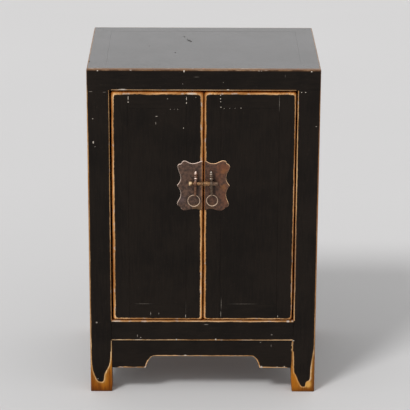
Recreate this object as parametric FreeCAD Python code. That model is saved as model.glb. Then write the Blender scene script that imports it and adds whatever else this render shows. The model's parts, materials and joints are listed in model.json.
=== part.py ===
import FreeCAD, Part
import math
import os

# A small lacquered cabinet with two doors. Its four corner posts run on to the floor as its feet.
# Lengths are in millimetres. +X runs to the right, +Y to the back and +Z up. The origin is on the
# floor, in the middle of the space that the closed cabinet takes up, its hardware included.

# Overall size
cabinet_width = 420.0
cabinet_height = 625.0
carcass_depth = 320.0

# Corner posts
post_size = 40.0
post_arris_radius = 1.0
post_tenon_size = 18.0
post_tenon_height = 22.0

# Top: a mitred frame around a flush panel, with two cleats under the panel
top_frame_height = 38.5
top_frame_width = 34.0
top_panel_thickness = 12.0
top_arris_radius = 2.5
cleat_width = 24.0
cleat_height = 16.0
cleat_offset = 110.0
cleat_tenon_width = 12.0

# Bottom rails, flush with the outer faces of the posts
bottom_rail_top = 142.0
bottom_rail_height = 38.5
bottom_rail_depth = 28.0

# Aprons under the bottom rails. The front one steps up into its arch on a curve that leaves the
# low edge steeply and then leans over, which the three shares of the step's size describe.
apron_recess = 3.0
apron_thickness = 12.0
apron_drop = 56.5
arch_rise = 23.5
arch_half_width = 91.5
arch_step_width = 15.0
arch_toe_lean_share = 0.15
arch_toe_rise_share = 0.55
arch_shoulder_share = 0.6
side_apron_drop = 43.5

# Panels, bottom board and shelf
side_panel_recess = 3.0
side_panel_thickness = 10.0
back_panel_recess = 3.0
back_panel_thickness = 10.0
bottom_board_thickness = 14.0
bottom_board_tongue_length = 6.0
bottom_board_tongue_thickness = 7.0
shelf_height = 365.0
shelf_thickness = 12.0
bearer_width = 15.0
bearer_height = 20.0

# Doors
door_recess = 2.0
door_thickness = 20.0
door_side_gap = 3.7
door_top_gap = 3.5
door_bottom_gap = 2.0
door_meeting_gap = 2.8
door_stile_width = 30.0
door_rail_width = 31.0
door_panel_thickness = 12.0
door_groove_depth = 6.0
door_arris_radius = 4.0
door_tenon_length = 20.0
door_tenon_thickness = 8.0
door_tenon_shoulder = 6.0

# Door pivots, turned on the ends of the outer stiles. A door lifts into its deep upper socket
# until the short lower pivot is free.
pivot_radius = 5.0
pivot_inset = 10.0
upper_pivot_grip = 10.0
lower_pivot_grip = 3.2
socket_end_gap = 0.3

# Door stops
stop_length = 80.0
stop_depth = 12.0
stop_height = 12.0
stop_gap = 0.3

# Face plates, a scalloped square parted at the meeting line
plate_rise = 43.5
plate_thickness = 1.2
plate_parting = 5.2
plate_cusp_reach = 47.6
plate_waist_reach = 41.4
plate_waist_offset = 16.0
plate_lobe_reach = 47.2
plate_lobe_offset = 35.5
plate_notch_reach = 41.6

# Lugs that hold the lock pin and the pull rings. Their parts run into one another by the lap.
lug_offset = 14.8
lug_width = 5.0
lug_head_radius = 5.6
lug_lap = 1.0
lug_pin_rise = 5.5
lug_neck_top_radius = 2.1
lug_neck_low_radius = 1.6
finial_neck_radius = 2.3
finial_cove_height = 1.15
finial_collar_radius = 3.2
finial_collar_height = 2.6
finial_bulb_radius = 3.5
finial_bulb_height = 12.0
finial_bulb_steps = 8
finial_stem_height = 8.6
shank_radius = 2.0
clinch_length = 14.0
clinch_width = 3.2
clinch_thickness = 1.2

# Pull rings
ring_radius = 10.9
ring_wire_radius = 1.15
ring_drop = 22.8
ring_standoff = 3.6
ring_eye_radius = 3.2
ring_eye_width = 3.0
ring_eye_hole_radius = 1.8
left_ring_sway = 2.4
right_ring_sway = 1.0

# Lock pin, which slides in the left lug, and its socket in the right lug
pin_radius = 3.7
pin_neck_radius = 3.0
pin_head_radius = 4.1
pin_head_length = 7.4
pin_head_gap = 3.2
pin_tip_gap = 0.4
pin_tip_chamfer = 0.7
socket_wall = 0.9
socket_depth = 9.0
socket_stub_radius = 4.0
socket_stub_length = 8.5

# Joinery that the pieces share
joint_play = 0.1
joint_wall = 3.0
tenon_thickness = 10.0
tenon_shoulder = 6.0
groove_depth = 8.0
tongue_thickness = 6.0
panel_float = 1.0
running_play = 0.08

# Places that follow from the sizes
half_width = cabinet_width / 2
half_opening = half_width - post_size
lug_reach = 2 * lug_head_radius + plate_thickness - door_recess
front_y = (lug_reach - carcass_depth) / 2
back_y = front_y + carcass_depth
post_top = cabinet_height - top_frame_height
rail_underside = bottom_rail_top - bottom_rail_height
rail_tenon_setback = (bottom_rail_depth - tenon_thickness) / 2
rail_tenon_length = post_size - rail_tenon_setback - tenon_thickness - joint_wall
rail_tenon_top = bottom_rail_top - groove_depth - joint_wall
panel_bottom = bottom_rail_top - groove_depth + panel_float
panel_top = post_top + groove_depth - panel_float
top_panel_underside = cabinet_height - top_panel_thickness
side_panel_back = side_panel_recess + side_panel_thickness
apron_middle = apron_recess + apron_thickness / 2

door_low = bottom_rail_top + door_bottom_gap
door_high = post_top - door_top_gap
door_outer = half_opening - door_side_gap
door_inner = door_meeting_gap / 2
door_face_y = front_y + door_recess
door_back_y = door_face_y + door_thickness
door_middle_y = door_face_y + door_thickness / 2
pivot_x = door_outer - pivot_inset

plate_z = (door_low + door_high) / 2 + plate_rise
plate_front_y = door_face_y - plate_thickness
pin_z = plate_z + lug_pin_rise
pin_y = plate_front_y - lug_head_radius
pin_bore_radius = pin_radius + running_play
ring_z = pin_z - ring_drop
ring_y = plate_front_y - ring_standoff


def block(x_pair, y_pair, z_pair, grow=0.0):
    """A box between two x, two y and two z values in any order, grown on every side."""
    low = FreeCAD.Vector(min(x_pair) - grow, min(y_pair) - grow, min(z_pair) - grow)
    high = FreeCAD.Vector(max(x_pair) + grow, max(y_pair) + grow, max(z_pair) + grow)
    size = high - low
    return Part.makeBox(size.x, size.y, size.z, low)


def rod(start, end, radius):
    """A round bar between two points."""
    along = end - start
    return Part.makeCylinder(radius, along.Length, start, along)


def turned(points, start, axis):
    """A solid turned from (place along the axis, radius) points, round an axis from start."""
    profile = [FreeCAD.Vector(radius, 0, place) for place, radius in points]
    profile.append(FreeCAD.Vector(0, 0, points[-1][0]))
    profile.insert(0, FreeCAD.Vector(0, 0, points[0][0]))
    profile.append(profile[0])
    face = Part.Face(Part.makePolygon(profile))
    solid = face.revolve(FreeCAD.Vector(0, 0, 0), FreeCAD.Vector(0, 0, 1), 360)
    turn = FreeCAD.Rotation(FreeCAD.Vector(0, 0, 1), axis)
    solid.Placement = FreeCAD.Placement(start, turn)
    return solid


def from_outside(side, distance):
    """The x value at a distance inwards from the left (-1) or right (+1) outer face."""
    return side * (half_width - distance)


def from_end(end, distance):
    """The y value at a distance inwards from the front (-1) or back (+1) outer face."""
    return front_y + distance if end < 0 else back_y - distance


def rounded_box(x_pair, y_pair, z_pair, radius, keep_bottom):
    """A box with rounded edges. keep_bottom leaves the edges of the lowest face sharp."""
    solid = block(x_pair, y_pair, z_pair)
    lowest = min(z_pair)
    edges = [edge for edge in solid.Edges if not keep_bottom or edge.BoundBox.ZMax > lowest]
    return solid.makeFillet(radius, edges)


def cut_all(solid, tools):
    """The solid with each of the tools cut from it."""
    for tool in tools:
        solid = solid.cut(tool)
    return solid


def carcass_envelope():
    """The rounded outer form of the carcass, which trims the posts and the top frame."""
    return rounded_box(
        (-half_width, half_width), (front_y, back_y), (0, cabinet_height), top_arris_radius, True
    )


# Tenons, tongues and panels. Each is made again, grown by the play, as the tool for its seat.


def post_tenon(side, end, grow=0.0):
    """The square tenon on a post's upper end, centred under the top frame."""
    low_edge = (top_frame_width - post_tenon_size) / 2
    high_edge = low_edge + post_tenon_size
    return block(
        (from_outside(side, low_edge), from_outside(side, high_edge)),
        (from_end(end, low_edge), from_end(end, high_edge)),
        (post_top, post_top + post_tenon_height),
        grow,
    )


def long_rail_tenons(end, grow=0.0):
    """The bar whose ends are the tenons of the front or back bottom rail."""
    reach = half_opening + rail_tenon_length
    return block(
        (-reach, reach),
        (from_end(end, rail_tenon_setback), from_end(end, rail_tenon_setback + tenon_thickness)),
        (rail_underside + tenon_shoulder, rail_tenon_top),
        grow,
    )


def side_rail_tenons(side, grow=0.0):
    """The bar whose ends are the tenons of the left or right bottom rail."""
    inset = post_size - rail_tenon_length
    return block(
        (from_outside(side, rail_tenon_setback), from_outside(side, rail_tenon_setback + tenon_thickness)),
        (front_y + inset, back_y - inset),
        (rail_underside + tenon_shoulder, rail_tenon_top),
        grow,
    )


def side_panel(side, grow=0.0):
    """A side panel, held in grooves in the posts, the bottom rail and the top frame."""
    inset = post_size - groove_depth + panel_float
    return block(
        (from_outside(side, side_panel_recess), from_outside(side, side_panel_back)),
        (front_y + inset, back_y - inset),
        (panel_bottom, panel_top),
        grow,
    )


def back_panel(grow=0.0):
    """The back panel, held in grooves like the side panels."""
    reach = half_opening + groove_depth - panel_float
    return block(
        (-reach, reach),
        (back_y - back_panel_recess, back_y - back_panel_recess - back_panel_thickness),
        (panel_bottom, panel_top),
        grow,
    )


def front_apron_top_tongue(grow=0.0):
    """The tongue that seats the front apron in the underside of the front rail."""
    middle = front_y + apron_middle
    return block(
        (-half_opening, half_opening),
        (middle - tongue_thickness / 2, middle + tongue_thickness / 2),
        (rail_underside - apron_drop, rail_underside + tenon_shoulder - joint_play),
        grow,
    )


def front_apron_end_tongue(grow=0.0):
    """The tongue whose ends seat the front apron in the posts."""
    middle = front_y + apron_middle
    reach = half_opening + groove_depth
    return block(
        (-reach, reach),
        (middle - tongue_thickness / 2, middle + tongue_thickness / 2),
        (rail_underside - apron_drop, rail_underside),
        grow,
    )


def side_apron_tongue(side, grow=0.0):
    """The tongue whose ends seat a side apron in the posts."""
    near = apron_middle - tongue_thickness / 2
    inset = post_size - groove_depth
    return block(
        (from_outside(side, near), from_outside(side, near + tongue_thickness)),
        (front_y + inset, back_y - inset),
        (rail_underside - side_apron_drop, rail_underside),
        grow,
    )


def bottom_board_tongue(grow=0.0):
    """The tongue around the bottom board, in the grooves of the four bottom rails."""
    inset = bottom_rail_depth - bottom_board_tongue_length
    underside = bottom_rail_top - bottom_board_thickness
    return block(
        (-half_width + inset, half_width - inset),
        (front_y + inset, back_y - inset),
        (underside, underside + bottom_board_tongue_thickness),
        grow,
    )


def top_panel_tongue(grow=0.0):
    """The tongue around the top panel, in the groove of the top frame."""
    inset = top_frame_width - groove_depth + panel_float
    return block(
        (-half_width + inset, half_width - inset),
        (front_y + inset, back_y - inset),
        (top_panel_underside, top_panel_underside + tongue_thickness),
        grow,
    )


def cleat_tenons(side, grow=0.0):
    """The bar whose ends seat a cleat in the front and back members of the top frame."""
    inset = top_frame_width - groove_depth
    near = side * cleat_offset - cleat_tenon_width / 2
    return block(
        (near, near + cleat_tenon_width),
        (front_y + inset, back_y - inset),
        (top_panel_underside - cleat_height, top_panel_underside - joint_wall),
        grow,
    )


def bearer_tenons(side, grow=0.0):
    """The bar whose ends seat a shelf bearer in the front and back posts."""
    near = side_panel_back + joint_wall
    inset = post_size - groove_depth
    top = shelf_height - shelf_thickness
    return block(
        (from_outside(side, near), from_outside(side, near + bearer_width - 2 * joint_wall)),
        (front_y + inset, back_y - inset),
        (top - bearer_height + joint_wall, top - joint_wall),
        grow,
    )


def post_block(side, end, grow=0.0):
    """The plain post below the top frame."""
    return block(
        (from_outside(side, 0), from_outside(side, post_size)),
        (from_end(end, 0), from_end(end, post_size)),
        (0, post_top),
        grow,
    )


# Carcass pieces


def corner_post(side, end):
    """A corner post with the seats of all that it holds."""
    plain = post_block(side, end)
    upright = [edge for edge in plain.Edges if edge.BoundBox.ZLength > post_size]
    post = plain.makeFillet(post_arris_radius, upright).common(carcass_envelope())
    post = post.fuse(post_tenon(side, end))
    seats = [
        long_rail_tenons(end, joint_play),
        side_rail_tenons(side, joint_play),
        side_panel(side, joint_play),
        side_apron_tongue(side, joint_play),
        bearer_tenons(side, joint_play),
    ]
    if end < 0:
        seats.append(front_apron_end_tongue(joint_play))
    else:
        seats.append(back_panel(joint_play))
    return cut_all(post, seats)


def mitred_member(corners):
    """A length of top frame on four plan corners."""
    points = [FreeCAD.Vector(x, y, post_top) for x, y in corners]
    points.append(points[0])
    face = Part.Face(Part.makePolygon(points))
    member = face.extrude(FreeCAD.Vector(0, 0, top_frame_height))
    return member.common(carcass_envelope()).cut(top_panel_tongue(joint_play))


def long_top_rail(end):
    """The front or back member of the top frame."""
    outer = from_end(end, 0)
    inner = from_end(end, top_frame_width)
    inner_x = half_width - top_frame_width
    rail = mitred_member([(-half_width, outer), (half_width, outer), (inner_x, inner), (-inner_x, inner)])
    seats = [post_tenon(side, end, joint_play) for side in (-1, 1)]
    seats += [cleat_tenons(side, joint_play) for side in (-1, 1)]
    if end < 0:
        seats += [pivot_socket(side, post_top, 1) for side in (-1, 1)]
    else:
        seats.append(back_panel(joint_play))
    return cut_all(rail, seats)


def side_top_rail(side):
    """The left or right member of the top frame."""
    outer = from_outside(side, 0)
    inner = from_outside(side, top_frame_width)
    near = front_y + top_frame_width
    far = back_y - top_frame_width
    rail = mitred_member([(outer, front_y), (outer, back_y), (inner, far), (inner, near)])
    seats = [post_tenon(side, end, joint_play) for end in (-1, 1)]
    seats.append(side_panel(side, joint_play))
    return cut_all(rail, seats)


def top_panel():
    """The top panel, flush with its frame, on a tongue that lies lower."""
    inset = top_frame_width + joint_play
    face = block(
        (-half_width + inset, half_width - inset),
        (front_y + inset, back_y - inset),
        (top_panel_underside, cabinet_height),
    )
    return face.fuse(top_panel_tongue())


def top_cleat(side):
    """A cleat under the top panel, from front to back."""
    bar = block(
        (side * cleat_offset - cleat_width / 2, side * cleat_offset + cleat_width / 2),
        (front_y + top_frame_width, back_y - top_frame_width),
        (top_panel_underside - cleat_height, top_panel_underside),
    )
    return bar.fuse(cleat_tenons(side))


def long_bottom_rail(end):
    """The front or back bottom rail."""
    bar = block(
        (-half_opening, half_opening),
        (from_end(end, 0), from_end(end, bottom_rail_depth)),
        (rail_underside, bottom_rail_top),
    )
    seats = [bottom_board_tongue(joint_play)]
    if end < 0:
        seats.append(front_apron_top_tongue(joint_play))
        seats += [pivot_socket(side, bottom_rail_top, -1) for side in (-1, 1)]
    else:
        seats.append(back_panel(joint_play))
    return cut_all(bar.fuse(long_rail_tenons(end)), seats)


def side_bottom_rail(side):
    """The left or right bottom rail."""
    bar = block(
        (from_outside(side, 0), from_outside(side, bottom_rail_depth)),
        (front_y + post_size, back_y - post_size),
        (rail_underside, bottom_rail_top),
    )
    seats = [bottom_board_tongue(joint_play), side_panel(side, joint_play)]
    return cut_all(bar.fuse(side_rail_tenons(side)), seats)


def front_apron():
    """The front apron, whose lower edge steps up into a flat arch."""
    low = rail_underside - apron_drop
    high = low + arch_rise
    foot = arch_half_width + arch_step_width
    toe = foot - arch_step_width * arch_toe_lean_share
    shoulder = foot - arch_step_width * arch_shoulder_share
    body = block(
        (-half_opening, half_opening),
        (front_y + apron_recess, front_y + apron_recess + apron_thickness),
        (low, rail_underside),
    )
    body = body.fuse([front_apron_top_tongue(), front_apron_end_tongue()])
    below = low - arch_rise
    steps = []
    for side in (-1, 1):
        curve = Part.BezierCurve()
        curve.setPoles([
            FreeCAD.Vector(side * foot, front_y, low),
            FreeCAD.Vector(side * toe, front_y, low + arch_rise * arch_toe_rise_share),
            FreeCAD.Vector(side * shoulder, front_y, high),
            FreeCAD.Vector(side * arch_half_width, front_y, high),
        ])
        steps.append(curve.toShape())
    crown = Part.makeLine(
        FreeCAD.Vector(-arch_half_width, front_y, high), FreeCAD.Vector(arch_half_width, front_y, high)
    )
    open_side = Part.makePolygon([
        FreeCAD.Vector(-foot, front_y, low),
        FreeCAD.Vector(-foot, front_y, below),
        FreeCAD.Vector(foot, front_y, below),
        FreeCAD.Vector(foot, front_y, low),
    ])
    outline = Part.Wire(Part.__sortEdges__(steps + [crown] + open_side.Edges))
    arch = Part.Face(outline).extrude(FreeCAD.Vector(0, post_size, 0))
    return body.cut(arch)


def side_apron(side):
    """A straight apron under a side bottom rail."""
    body = block(
        (from_outside(side, apron_recess), from_outside(side, apron_recess + apron_thickness)),
        (front_y + post_size, back_y - post_size),
        (rail_underside - side_apron_drop, rail_underside),
    )
    return body.fuse(side_apron_tongue(side))


def bottom_board():
    """The cabinet's floor, notched round the posts and flush with the rails."""
    inset = bottom_rail_depth + joint_play
    face = block(
        (-half_width + inset, half_width - inset),
        (front_y + inset, back_y - inset),
        (bottom_rail_top - bottom_board_thickness, bottom_rail_top),
    )
    corners = [post_block(side, end, joint_play) for side in (-1, 1) for end in (-1, 1)]
    return cut_all(face.fuse(bottom_board_tongue()), corners)


def shelf():
    """The shelf, which lies on its bearers between the front and back posts."""
    reach = half_width - side_panel_back - joint_play
    return block(
        (-reach, reach),
        (front_y + post_size + joint_play, back_y - post_size - joint_play),
        (shelf_height - shelf_thickness, shelf_height),
    )


def shelf_bearer(side):
    """The rail that carries one end of the shelf."""
    near = side_panel_back + joint_play
    top = shelf_height - shelf_thickness
    bar = block(
        (from_outside(side, near), from_outside(side, near + bearer_width)),
        (front_y + post_size, back_y - post_size),
        (top - bearer_height, top),
    )
    return bar.fuse(bearer_tenons(side))


def door_stop(low, high):
    """A short strip that stops both doors at their meeting stiles."""
    near = door_back_y + stop_gap
    return block((-stop_length / 2, stop_length / 2), (near, near + stop_depth), (low, high))


# Doors


def pivot_socket(side, face_z, way):
    """The blind socket of a pivot, which goes up (+1) or down (-1) from a rail's face."""
    centre = FreeCAD.Vector(side * pivot_x, door_middle_y, face_z)
    depth = lower_pivot_grip + socket_end_gap
    if way > 0:
        depth = upper_pivot_grip + lower_pivot_grip + socket_end_gap
    return Part.makeCylinder(pivot_radius + running_play, depth, centre, FreeCAD.Vector(0, 0, way))


def door_box(side, near_x, far_x, low, high):
    """A box of the door's full thickness, between two distances from the meeting line."""
    return block((side * near_x, side * far_x), (door_face_y, door_back_y), (low, high))


def door_envelope(side):
    """The rounded outer form of a door leaf."""
    return rounded_box(
        (side * door_inner, side * door_outer),
        (door_face_y, door_back_y),
        (door_low, door_high),
        door_arris_radius,
        False,
    )


def door_rail_levels(upper):
    """The lower and upper edge of a door's top or bottom rail."""
    if upper:
        return door_high - door_rail_width, door_high
    return door_low, door_low + door_rail_width


def door_rail_tenons(side, upper, grow=0.0):
    """The bar whose ends are the tenons of a door rail."""
    low, high = door_rail_levels(upper)
    reach = door_stile_width - door_tenon_length
    low_shoulder = door_groove_depth if upper else door_tenon_shoulder
    high_shoulder = door_tenon_shoulder if upper else door_groove_depth
    return block(
        (side * (door_inner + reach), side * (door_outer - reach)),
        (door_middle_y - door_tenon_thickness / 2, door_middle_y + door_tenon_thickness / 2),
        (low + low_shoulder, high - high_shoulder),
        grow,
    )


def door_panel_tongue(side, grow=0.0):
    """The tongue around a door panel."""
    inset = door_stile_width - door_groove_depth + panel_float
    rise = door_rail_width - door_groove_depth + panel_float
    back = door_face_y + door_panel_thickness
    return block(
        (side * (door_inner + inset), side * (door_outer - inset)),
        (back - tongue_thickness, back),
        (door_low + rise, door_high - rise),
        grow,
    )


def outer_stile(side):
    """The stile that turns on the door's two pivots."""
    stile = door_box(side, door_outer - door_stile_width, door_outer, door_low, door_high)
    stile = stile.common(door_envelope(side))
    upper_end = FreeCAD.Vector(side * pivot_x, door_middle_y, post_top + upper_pivot_grip)
    lower_end = FreeCAD.Vector(side * pivot_x, door_middle_y, bottom_rail_top - lower_pivot_grip)
    high_root = FreeCAD.Vector(side * pivot_x, door_middle_y, door_high - pivot_radius)
    low_root = FreeCAD.Vector(side * pivot_x, door_middle_y, door_low + pivot_radius)
    stile = stile.fuse([rod(high_root, upper_end, pivot_radius), rod(low_root, lower_end, pivot_radius)])
    seats = [door_rail_tenons(side, upper, joint_play) for upper in (True, False)]
    return cut_all(stile, seats + [door_panel_tongue(side, joint_play)])


def inner_stile(side):
    """The meeting stile, bored for the shank of the lug."""
    stile = door_box(side, door_inner, door_inner + door_stile_width, door_low, door_high)
    stile = stile.common(door_envelope(side))
    seats = [door_rail_tenons(side, upper, joint_play) for upper in (True, False)]
    seats += [door_panel_tongue(side, joint_play), shank(side, running_play)]
    return cut_all(stile, seats)


def door_rail(side, upper):
    """The top or bottom rail of a door."""
    low, high = door_rail_levels(upper)
    bar = door_box(side, door_inner + door_stile_width, door_outer - door_stile_width, low, high)
    bar = bar.common(door_envelope(side)).fuse(door_rail_tenons(side, upper))
    return bar.cut(door_panel_tongue(side, joint_play))


def door_panel(side):
    """A door panel, flush with its frame in front."""
    inset = door_stile_width + joint_play
    rise = door_rail_width + joint_play
    face = block(
        (side * (door_inner + inset), side * (door_outer - inset)),
        (door_face_y, door_face_y + door_panel_thickness),
        (door_low + rise, door_high - rise),
    )
    return face.fuse(door_panel_tongue(side))


# Hardware


def shank(side, grow=0.0):
    """The lug's shank, from the head through the plate and the meeting stile."""
    start = FreeCAD.Vector(side * lug_offset, pin_y + pin_bore_radius + lug_lap, pin_z)
    end = FreeCAD.Vector(side * lug_offset, door_back_y, pin_z)
    return rod(start, end, shank_radius + grow)


def plate_half(side):
    """One half of the scalloped face plate."""
    edges = []
    for quarter in range(4):
        turn = FreeCAD.Rotation(FreeCAD.Vector(0, 1, 0), 90 * quarter)
        for mirror in (-1, 1):
            points = [
                FreeCAD.Vector(0, 0, plate_cusp_reach),
                FreeCAD.Vector(mirror * plate_waist_offset, 0, plate_waist_reach),
                FreeCAD.Vector(mirror * plate_lobe_offset, 0, plate_lobe_reach),
                FreeCAD.Vector(mirror * plate_notch_reach, 0, plate_notch_reach),
            ]
            curve = Part.BSplineCurve()
            curve.interpolate([turn.multVec(point) for point in points])
            edges.append(curve.toShape())
    outline = Part.Wire(Part.__sortEdges__(edges))
    plate = Part.Face(outline).extrude(FreeCAD.Vector(0, plate_thickness, 0))
    plate.translate(FreeCAD.Vector(0, plate_front_y, plate_z))
    half = block(
        (side * plate_parting / 2, side * door_outer),
        (plate_front_y, door_face_y),
        (door_low, door_high),
    )
    return plate.common(half).cut(shank(side, running_play))


def lug_finial(side):
    """The turned finial above a lug's head: stem, collar and bulb."""
    collar = finial_stem_height
    bulb = collar + finial_collar_height + finial_cove_height
    profile = [
        (lug_head_radius - lug_lap, finial_neck_radius),
        (collar - finial_cove_height, finial_neck_radius),
        (collar, finial_collar_radius),
        (collar + finial_collar_height, finial_collar_radius),
        (bulb, finial_neck_radius),
    ]
    for step in range(1, finial_bulb_steps + 1):
        share = step / (finial_bulb_steps + 1)
        swell = math.sin(math.pi * share)
        radius = finial_bulb_radius * swell
        if 2 * step <= finial_bulb_steps:
            radius = finial_neck_radius + (finial_bulb_radius - finial_neck_radius) * swell
        profile.append((bulb + finial_bulb_height * share, radius))
    return turned(profile, FreeCAD.Vector(side * lug_offset, pin_y, pin_z), FreeCAD.Vector(0, 0, 1))


def lug(side):
    """A lug: finial, head with the pin's bore, neck, ring eye, shank and clinched legs."""
    x = side * lug_offset
    across = FreeCAD.Vector(1, 0, 0)
    head = Part.makeCylinder(
        lug_head_radius, lug_width, FreeCAD.Vector(x - lug_width / 2, pin_y, pin_z), across
    )
    eye = Part.makeCylinder(
        ring_eye_radius, ring_eye_width, FreeCAD.Vector(x - ring_eye_width / 2, ring_y, ring_z), across
    )
    neck_top = FreeCAD.Vector(x, pin_y, pin_z - (pin_bore_radius + lug_head_radius) / 2)
    neck_low = FreeCAD.Vector(x, ring_y, ring_z + (ring_eye_hole_radius + ring_eye_radius) / 2)
    along = neck_low - neck_top
    neck = Part.makeCone(lug_neck_top_radius, lug_neck_low_radius, along.Length, neck_top, along)
    clinch = block(
        (x - clinch_width / 2, x + clinch_width / 2),
        (door_back_y, door_back_y + clinch_thickness),
        (pin_z - clinch_length, pin_z + clinch_length),
    )
    solid = head.fuse([eye, neck, lug_finial(side), shank(side), clinch])
    bore = rod(
        FreeCAD.Vector(x - lug_width, pin_y, pin_z),
        FreeCAD.Vector(x + lug_width, pin_y, pin_z),
        pin_bore_radius,
    )
    hole = rod(
        FreeCAD.Vector(x - lug_width, ring_y, ring_z),
        FreeCAD.Vector(x + lug_width, ring_y, ring_z),
        ring_eye_hole_radius,
    )
    return cut_all(solid, [bore, hole])


def pull_ring(side, sway):
    """A ring that hangs in its eye, swayed outwards a little."""
    drop = math.sqrt(ring_radius ** 2 - sway ** 2)
    centre = FreeCAD.Vector(side * (lug_offset + sway), ring_y, ring_z - drop)
    return Part.makeTorus(ring_radius, ring_wire_radius, centre, FreeCAD.Vector(0, 1, 0))


def lock_pin():
    """The lock pin: its head, its neck and the bar that slides in the left lug."""
    lug_face = -lug_offset - lug_width / 2
    head_face = lug_face - pin_head_gap
    profile = [
        (head_face - pin_head_length, pin_head_radius - pin_tip_chamfer),
        (head_face - pin_head_length + pin_tip_chamfer, pin_head_radius),
        (head_face, pin_radius),
        (head_face, pin_neck_radius),
        (lug_face - joint_play, pin_neck_radius),
        (lug_face - joint_play, pin_radius),
        (-pin_tip_gap - pin_tip_chamfer, pin_radius),
        (-pin_tip_gap, pin_radius - pin_tip_chamfer),
    ]
    return turned(profile, FreeCAD.Vector(0, pin_y, pin_z), FreeCAD.Vector(1, 0, 0))


def pin_socket():
    """The socket that takes the pin's tip, riveted through the right lug."""
    near_face = lug_offset - lug_width / 2
    far_face = lug_offset + lug_width / 2
    sleeve_radius = pin_bore_radius + socket_wall
    profile = [
        (pin_tip_gap, sleeve_radius),
        (near_face, sleeve_radius),
        (near_face, pin_radius),
        (far_face, pin_radius),
        (far_face, socket_stub_radius),
        (far_face + socket_stub_length - pin_tip_chamfer, socket_stub_radius),
        (far_face + socket_stub_length, socket_stub_radius - pin_tip_chamfer),
    ]
    solid = turned(profile, FreeCAD.Vector(0, pin_y, pin_z), FreeCAD.Vector(1, 0, 0))
    mouth = FreeCAD.Vector(pin_tip_gap - socket_wall, pin_y, pin_z)
    bottom = FreeCAD.Vector(pin_tip_gap + socket_depth, pin_y, pin_z)
    return solid.cut(rod(mouth, bottom, pin_bore_radius))


def save(node, shape):
    """Write one node's shape as a STEP file of its own."""
    shape = shape.removeSplitter()
    shape.exportStep("parts/" + node + ".step")


def main():
    os.makedirs("parts", exist_ok=True)
    sides = {"left": -1, "right": 1}
    ends = {"front": -1, "back": 1}

    for end_name, end in ends.items():
        save("top_rail_" + end_name, long_top_rail(end))
        save("bottom_rail_" + end_name, long_bottom_rail(end))
        for side_name, side in sides.items():
            save("post_" + end_name + "_" + side_name, corner_post(side, end))
    for side_name, side in sides.items():
        save("top_rail_" + side_name, side_top_rail(side))
        save("top_cleat_" + side_name, top_cleat(side))
        save("bottom_rail_" + side_name, side_bottom_rail(side))
        save("side_panel_" + side_name, side_panel(side))
        save("side_apron_" + side_name, side_apron(side))
        save("shelf_bearer_" + side_name, shelf_bearer(side))
    save("top_panel", top_panel())
    save("front_apron", front_apron())
    save("back_panel", back_panel())
    save("bottom_board", bottom_board())
    save("shelf", shelf())
    save("door_stop_top", door_stop(post_top - stop_height, post_top))
    save("door_stop_bottom", door_stop(bottom_rail_top, bottom_rail_top + stop_height))

    for side_name, side in sides.items():
        save(side_name + "_door_outer_stile", outer_stile(side))
        save(side_name + "_door_inner_stile", inner_stile(side))
        save(side_name + "_door_top_rail", door_rail(side, True))
        save(side_name + "_door_bottom_rail", door_rail(side, False))
        save(side_name + "_door_panel", door_panel(side))
        save(side_name + "_face_plate", plate_half(side))
        save(side_name + "_lug", lug(side))
    save("left_ring", pull_ring(-1, left_ring_sway))
    save("right_ring", pull_ring(1, right_ring_sway))
    save("lock_pin", lock_pin())
    save("pin_socket", pin_socket())


main()
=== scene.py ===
import json
import math

import bmesh
import bpy
import numpy as np
from mathutils import Matrix, Vector


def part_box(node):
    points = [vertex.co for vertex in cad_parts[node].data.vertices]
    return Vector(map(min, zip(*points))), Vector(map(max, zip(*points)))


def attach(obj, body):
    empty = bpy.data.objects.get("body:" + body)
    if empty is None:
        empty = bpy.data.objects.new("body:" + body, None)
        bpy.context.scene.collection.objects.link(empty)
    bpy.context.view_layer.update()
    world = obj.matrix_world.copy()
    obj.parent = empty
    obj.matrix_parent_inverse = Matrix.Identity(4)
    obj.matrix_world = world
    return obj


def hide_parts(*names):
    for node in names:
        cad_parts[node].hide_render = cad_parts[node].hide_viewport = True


# A small two-door cabinet in worn black lacquer. Everything is in metres, in the frame of the CAD
# part. Shader patterns work in millimetres, on the coordinates that a piece has at rest. A side is
# -1 for left or 1 for right, and an end is -1 for front or 1 for back.

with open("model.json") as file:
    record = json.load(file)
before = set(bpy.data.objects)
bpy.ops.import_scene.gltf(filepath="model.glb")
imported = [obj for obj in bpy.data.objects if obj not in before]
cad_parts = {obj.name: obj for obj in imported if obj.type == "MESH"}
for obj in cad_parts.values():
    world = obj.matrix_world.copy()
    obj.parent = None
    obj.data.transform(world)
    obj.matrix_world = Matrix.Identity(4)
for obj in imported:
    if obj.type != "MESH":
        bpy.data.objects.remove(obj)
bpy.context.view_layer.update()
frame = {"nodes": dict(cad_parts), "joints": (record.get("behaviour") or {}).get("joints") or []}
mm = 0.001
side_names = {-1: "left", 1: "right"}


def span(node, axis):
    """The lowest and highest value of a CAD node along an axis."""
    low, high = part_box(node)
    return low[axis], high[axis]


# Places taken from the frame
left_edge, post_inner = span("post_front_left", 0)
half_width = -left_edge
post_size = post_inner - left_edge
half_opening = half_width - post_size
front = span("top_rail_front", 1)[0]
back = span("top_rail_back", 1)[1]
post_top, height = span("top_rail_front", 2)
rail_low, rail_high = span("bottom_rail_front", 2)
rail_depth = span("bottom_rail_front", 1)[1] - front
top_member = span("top_rail_left", 0)[1] + half_width
door_face = span("left_door_panel", 1)[0]
door_back = span("left_door_outer_stile", 1)[1]
door_low = span("left_door_bottom_rail", 2)[0]
door_high = span("left_door_top_rail", 2)[1]
door_inner = span("right_door_inner_stile", 0)[0]
door_outer = span("right_door_outer_stile", 0)[1]
pin_low, pin_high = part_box("lock_pin")
pin_axis = Vector((0, (pin_low.y + pin_high.y) / 2, (pin_low.z + pin_high.z) / 2))
pin_height = pin_axis.z / mm
plate_height = (sum(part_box("left_face_plate"), Vector()) / 2).z / mm
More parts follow.
